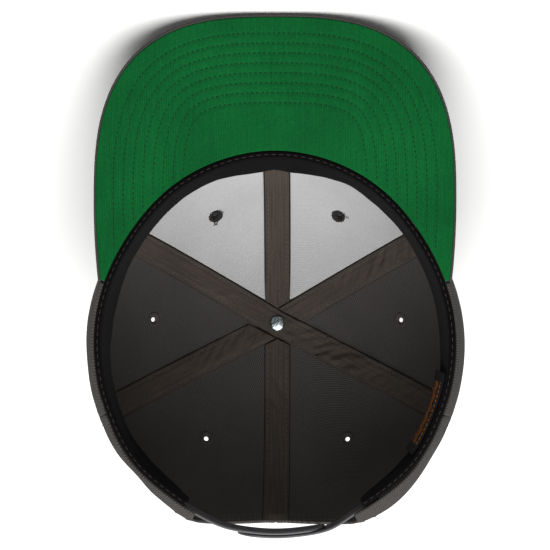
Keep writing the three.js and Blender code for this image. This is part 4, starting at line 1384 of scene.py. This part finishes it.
def build_rivet():
    seat = -(CROWN_HEIGHT - PANEL_THICKNESS - 2 * GAP - 2.1 * MM)
    head = RIVET_HEAD_HEIGHT
    radius = RIVET_HEAD_RADIUS
    shank = RIVET_SHANK_RADIUS
    profile = [
        (0, -CROWN_HEIGHT), (shank, -CROWN_HEIGHT), (shank, seat), (radius * 0.97, seat),
        (radius, seat + 0.12 * head), (radius, seat + 0.4 * head), (radius * 0.97, seat + 0.55 * head),
        (radius * 0.88, seat + 0.68 * head), (radius * 0.7, seat + 0.8 * head),
        (radius * 0.4, seat + 0.92 * head),
        (0, seat + head),
    ]
    piece("rivet_head", turned(profile, 64), brushed_zinc(), ["button_rivet"])


# Stitching of the crown

def build_seam_stitches():
    """The topstitching outside, a row on each side of every seam."""
    rows = []
    for seam in (0, FRONT_SEAM, -FRONT_SEAM, REAR_SEAM, -REAR_SEAM, math.pi):
        start = climb_at_depth(seam, ARCH_HEIGHT + 3 * MM if seam == math.pi else 9 * MM)
        end = climb_at_radius(seam, 9 * MM)
        for offset in (-SEAM_STITCH_OFFSET, SEAM_STITCH_OFFSET):
            climbs = [climb_along(seam, start, end, i / 100) for i in range(101)]
            line = [
                (tape_spot(seam, climb, offset, 0.3 * MM), outside_normal(seam, climb)) for climb in climbs
            ]
            rows.append(stitches(line, CROWN_STITCH))
    piece("seam_topstitching", joined(rows), CHARCOAL_THREAD)


def arch_line(off, inset, normal_sign):
    """A row of stitches round the rear opening, a distance from its edge."""
    line = []
    steps = 140
    for i in range(steps + 1):
        turn = math.pi * i / steps
        across = (ARCH_HALF_WIDTH + off) * math.cos(turn)
        depth = ARCH_STRAIGHT + (ARCH_HEIGHT - ARCH_STRAIGHT + off) * math.sin(turn)
        angle = math.pi - across / (HEAD_RADIUS * 1.13)
        for _ in range(4):
            climb = climb_at_depth(angle, depth)
            radius, _ = meridian(angle, climb)
            angle = math.pi - math.asin(across / radius)
        line.append((crown_point(angle, climb, inset), outside_normal(angle, climb) * normal_sign))
    return line


def build_arch_stitches():
    rows = []
    for off in (2.5 * MM, 8.5 * MM):
        rows.append(stitches(arch_line(off, 0, 1), CROWN_STITCH))
        rows.append(stitches(arch_line(off, PANEL_THICKNESS, -1), CROWN_STITCH))
    piece("arch_stitching", joined(rows), CHARCOAL_THREAD)


# Camera, light and floor

CAMERA_PLACE = Vector((-17.3, -38.0, 1200)) * MM  # in the cap's frame
CAMERA_TURN = [math.radians(degrees) for degrees in (0.4475, 0.8185, 0.0841)]
CAMERA_LENS = 150.3  # millimetres on a 36 mm sensor


def build_camera():
    roll = Matrix.Rotation(CAMERA_TURN[2], 3, "Z") @ Matrix.Rotation(CAMERA_TURN[1], 3, "Y")
    looking = roll @ Matrix.Rotation(CAMERA_TURN[0], 3, "X") @ Matrix(((-1, 0, 0), (0, 1, 0), (0, 0, -1)))
    right, down, ahead = looking
    local = Matrix((right, -down, -ahead)).transposed().to_4x4()
    local.translation = CAMERA_PLACE
    data = bpy.data.cameras.new("camera")
    data.lens = CAMERA_LENS
    data.sensor_width = 36
    data.clip_start = 0.05
    camera = bpy.data.objects.new("camera", data)
    camera.matrix_world = CAP @ local
    bpy.context.scene.collection.objects.link(camera)
    bpy.context.scene.camera = camera


def area_light(name, place, target, size, power):
    data = bpy.data.lights.new(name, "AREA")
    data.size = size
    data.energy = power
    lamp = bpy.data.objects.new(name, data)
    lamp.location = place
    lamp.rotation_euler = (Vector(target) - Vector(place)).to_track_quat("-Z", "Y").to_euler()
    bpy.context.scene.collection.objects.link(lamp)


def build_studio():
    floor_bm = bmesh.new()
    bmesh.ops.create_grid(floor_bm, x_segments=1, y_segments=1, size=6)
    mesh = bpy.data.meshes.new("floor")
    floor_bm.to_mesh(mesh)
    floor_bm.free()
    floor = bpy.data.objects.new("floor", mesh)
    bpy.context.scene.collection.objects.link(floor)
    paper, _, _ = new_material("white_paper_floor", Roughness=0.9, Base_Color=colour("#fbfbfa"))
    mesh.materials.append(paper)
    world = bpy.data.worlds.new("studio")
    world.use_nodes = True
    background = world.node_tree.nodes["Background"]
    background.inputs["Color"].default_value = colour("#ffffff")
    background.inputs["Strength"].default_value = 0.17
    bpy.context.scene.world = world
    area_light("overhead_softbox", (-0.04, 0.1, 1.5), (0, 0, 0.05), 1.5, 38)
    bpy.context.scene.view_settings.view_transform = "Standard"


build_camera()
build_studio()
for side, sign in SIDES.items():
    for panel in PANELS:
        build_panel(panel, side, sign)
    build_lining(side, sign)
tape_stitches = [row for tape in TAPES for row in build_tape(tape)]
piece("tape_stitching", joined(tape_stitches), CHARCOAL_THREAD)
build_visor()
build_visor_stitches()
build_sweatband()
build_label()
build_straps()
build_eyelets()
build_button()
build_rivet()
build_seam_stitches()
build_arch_stitches()
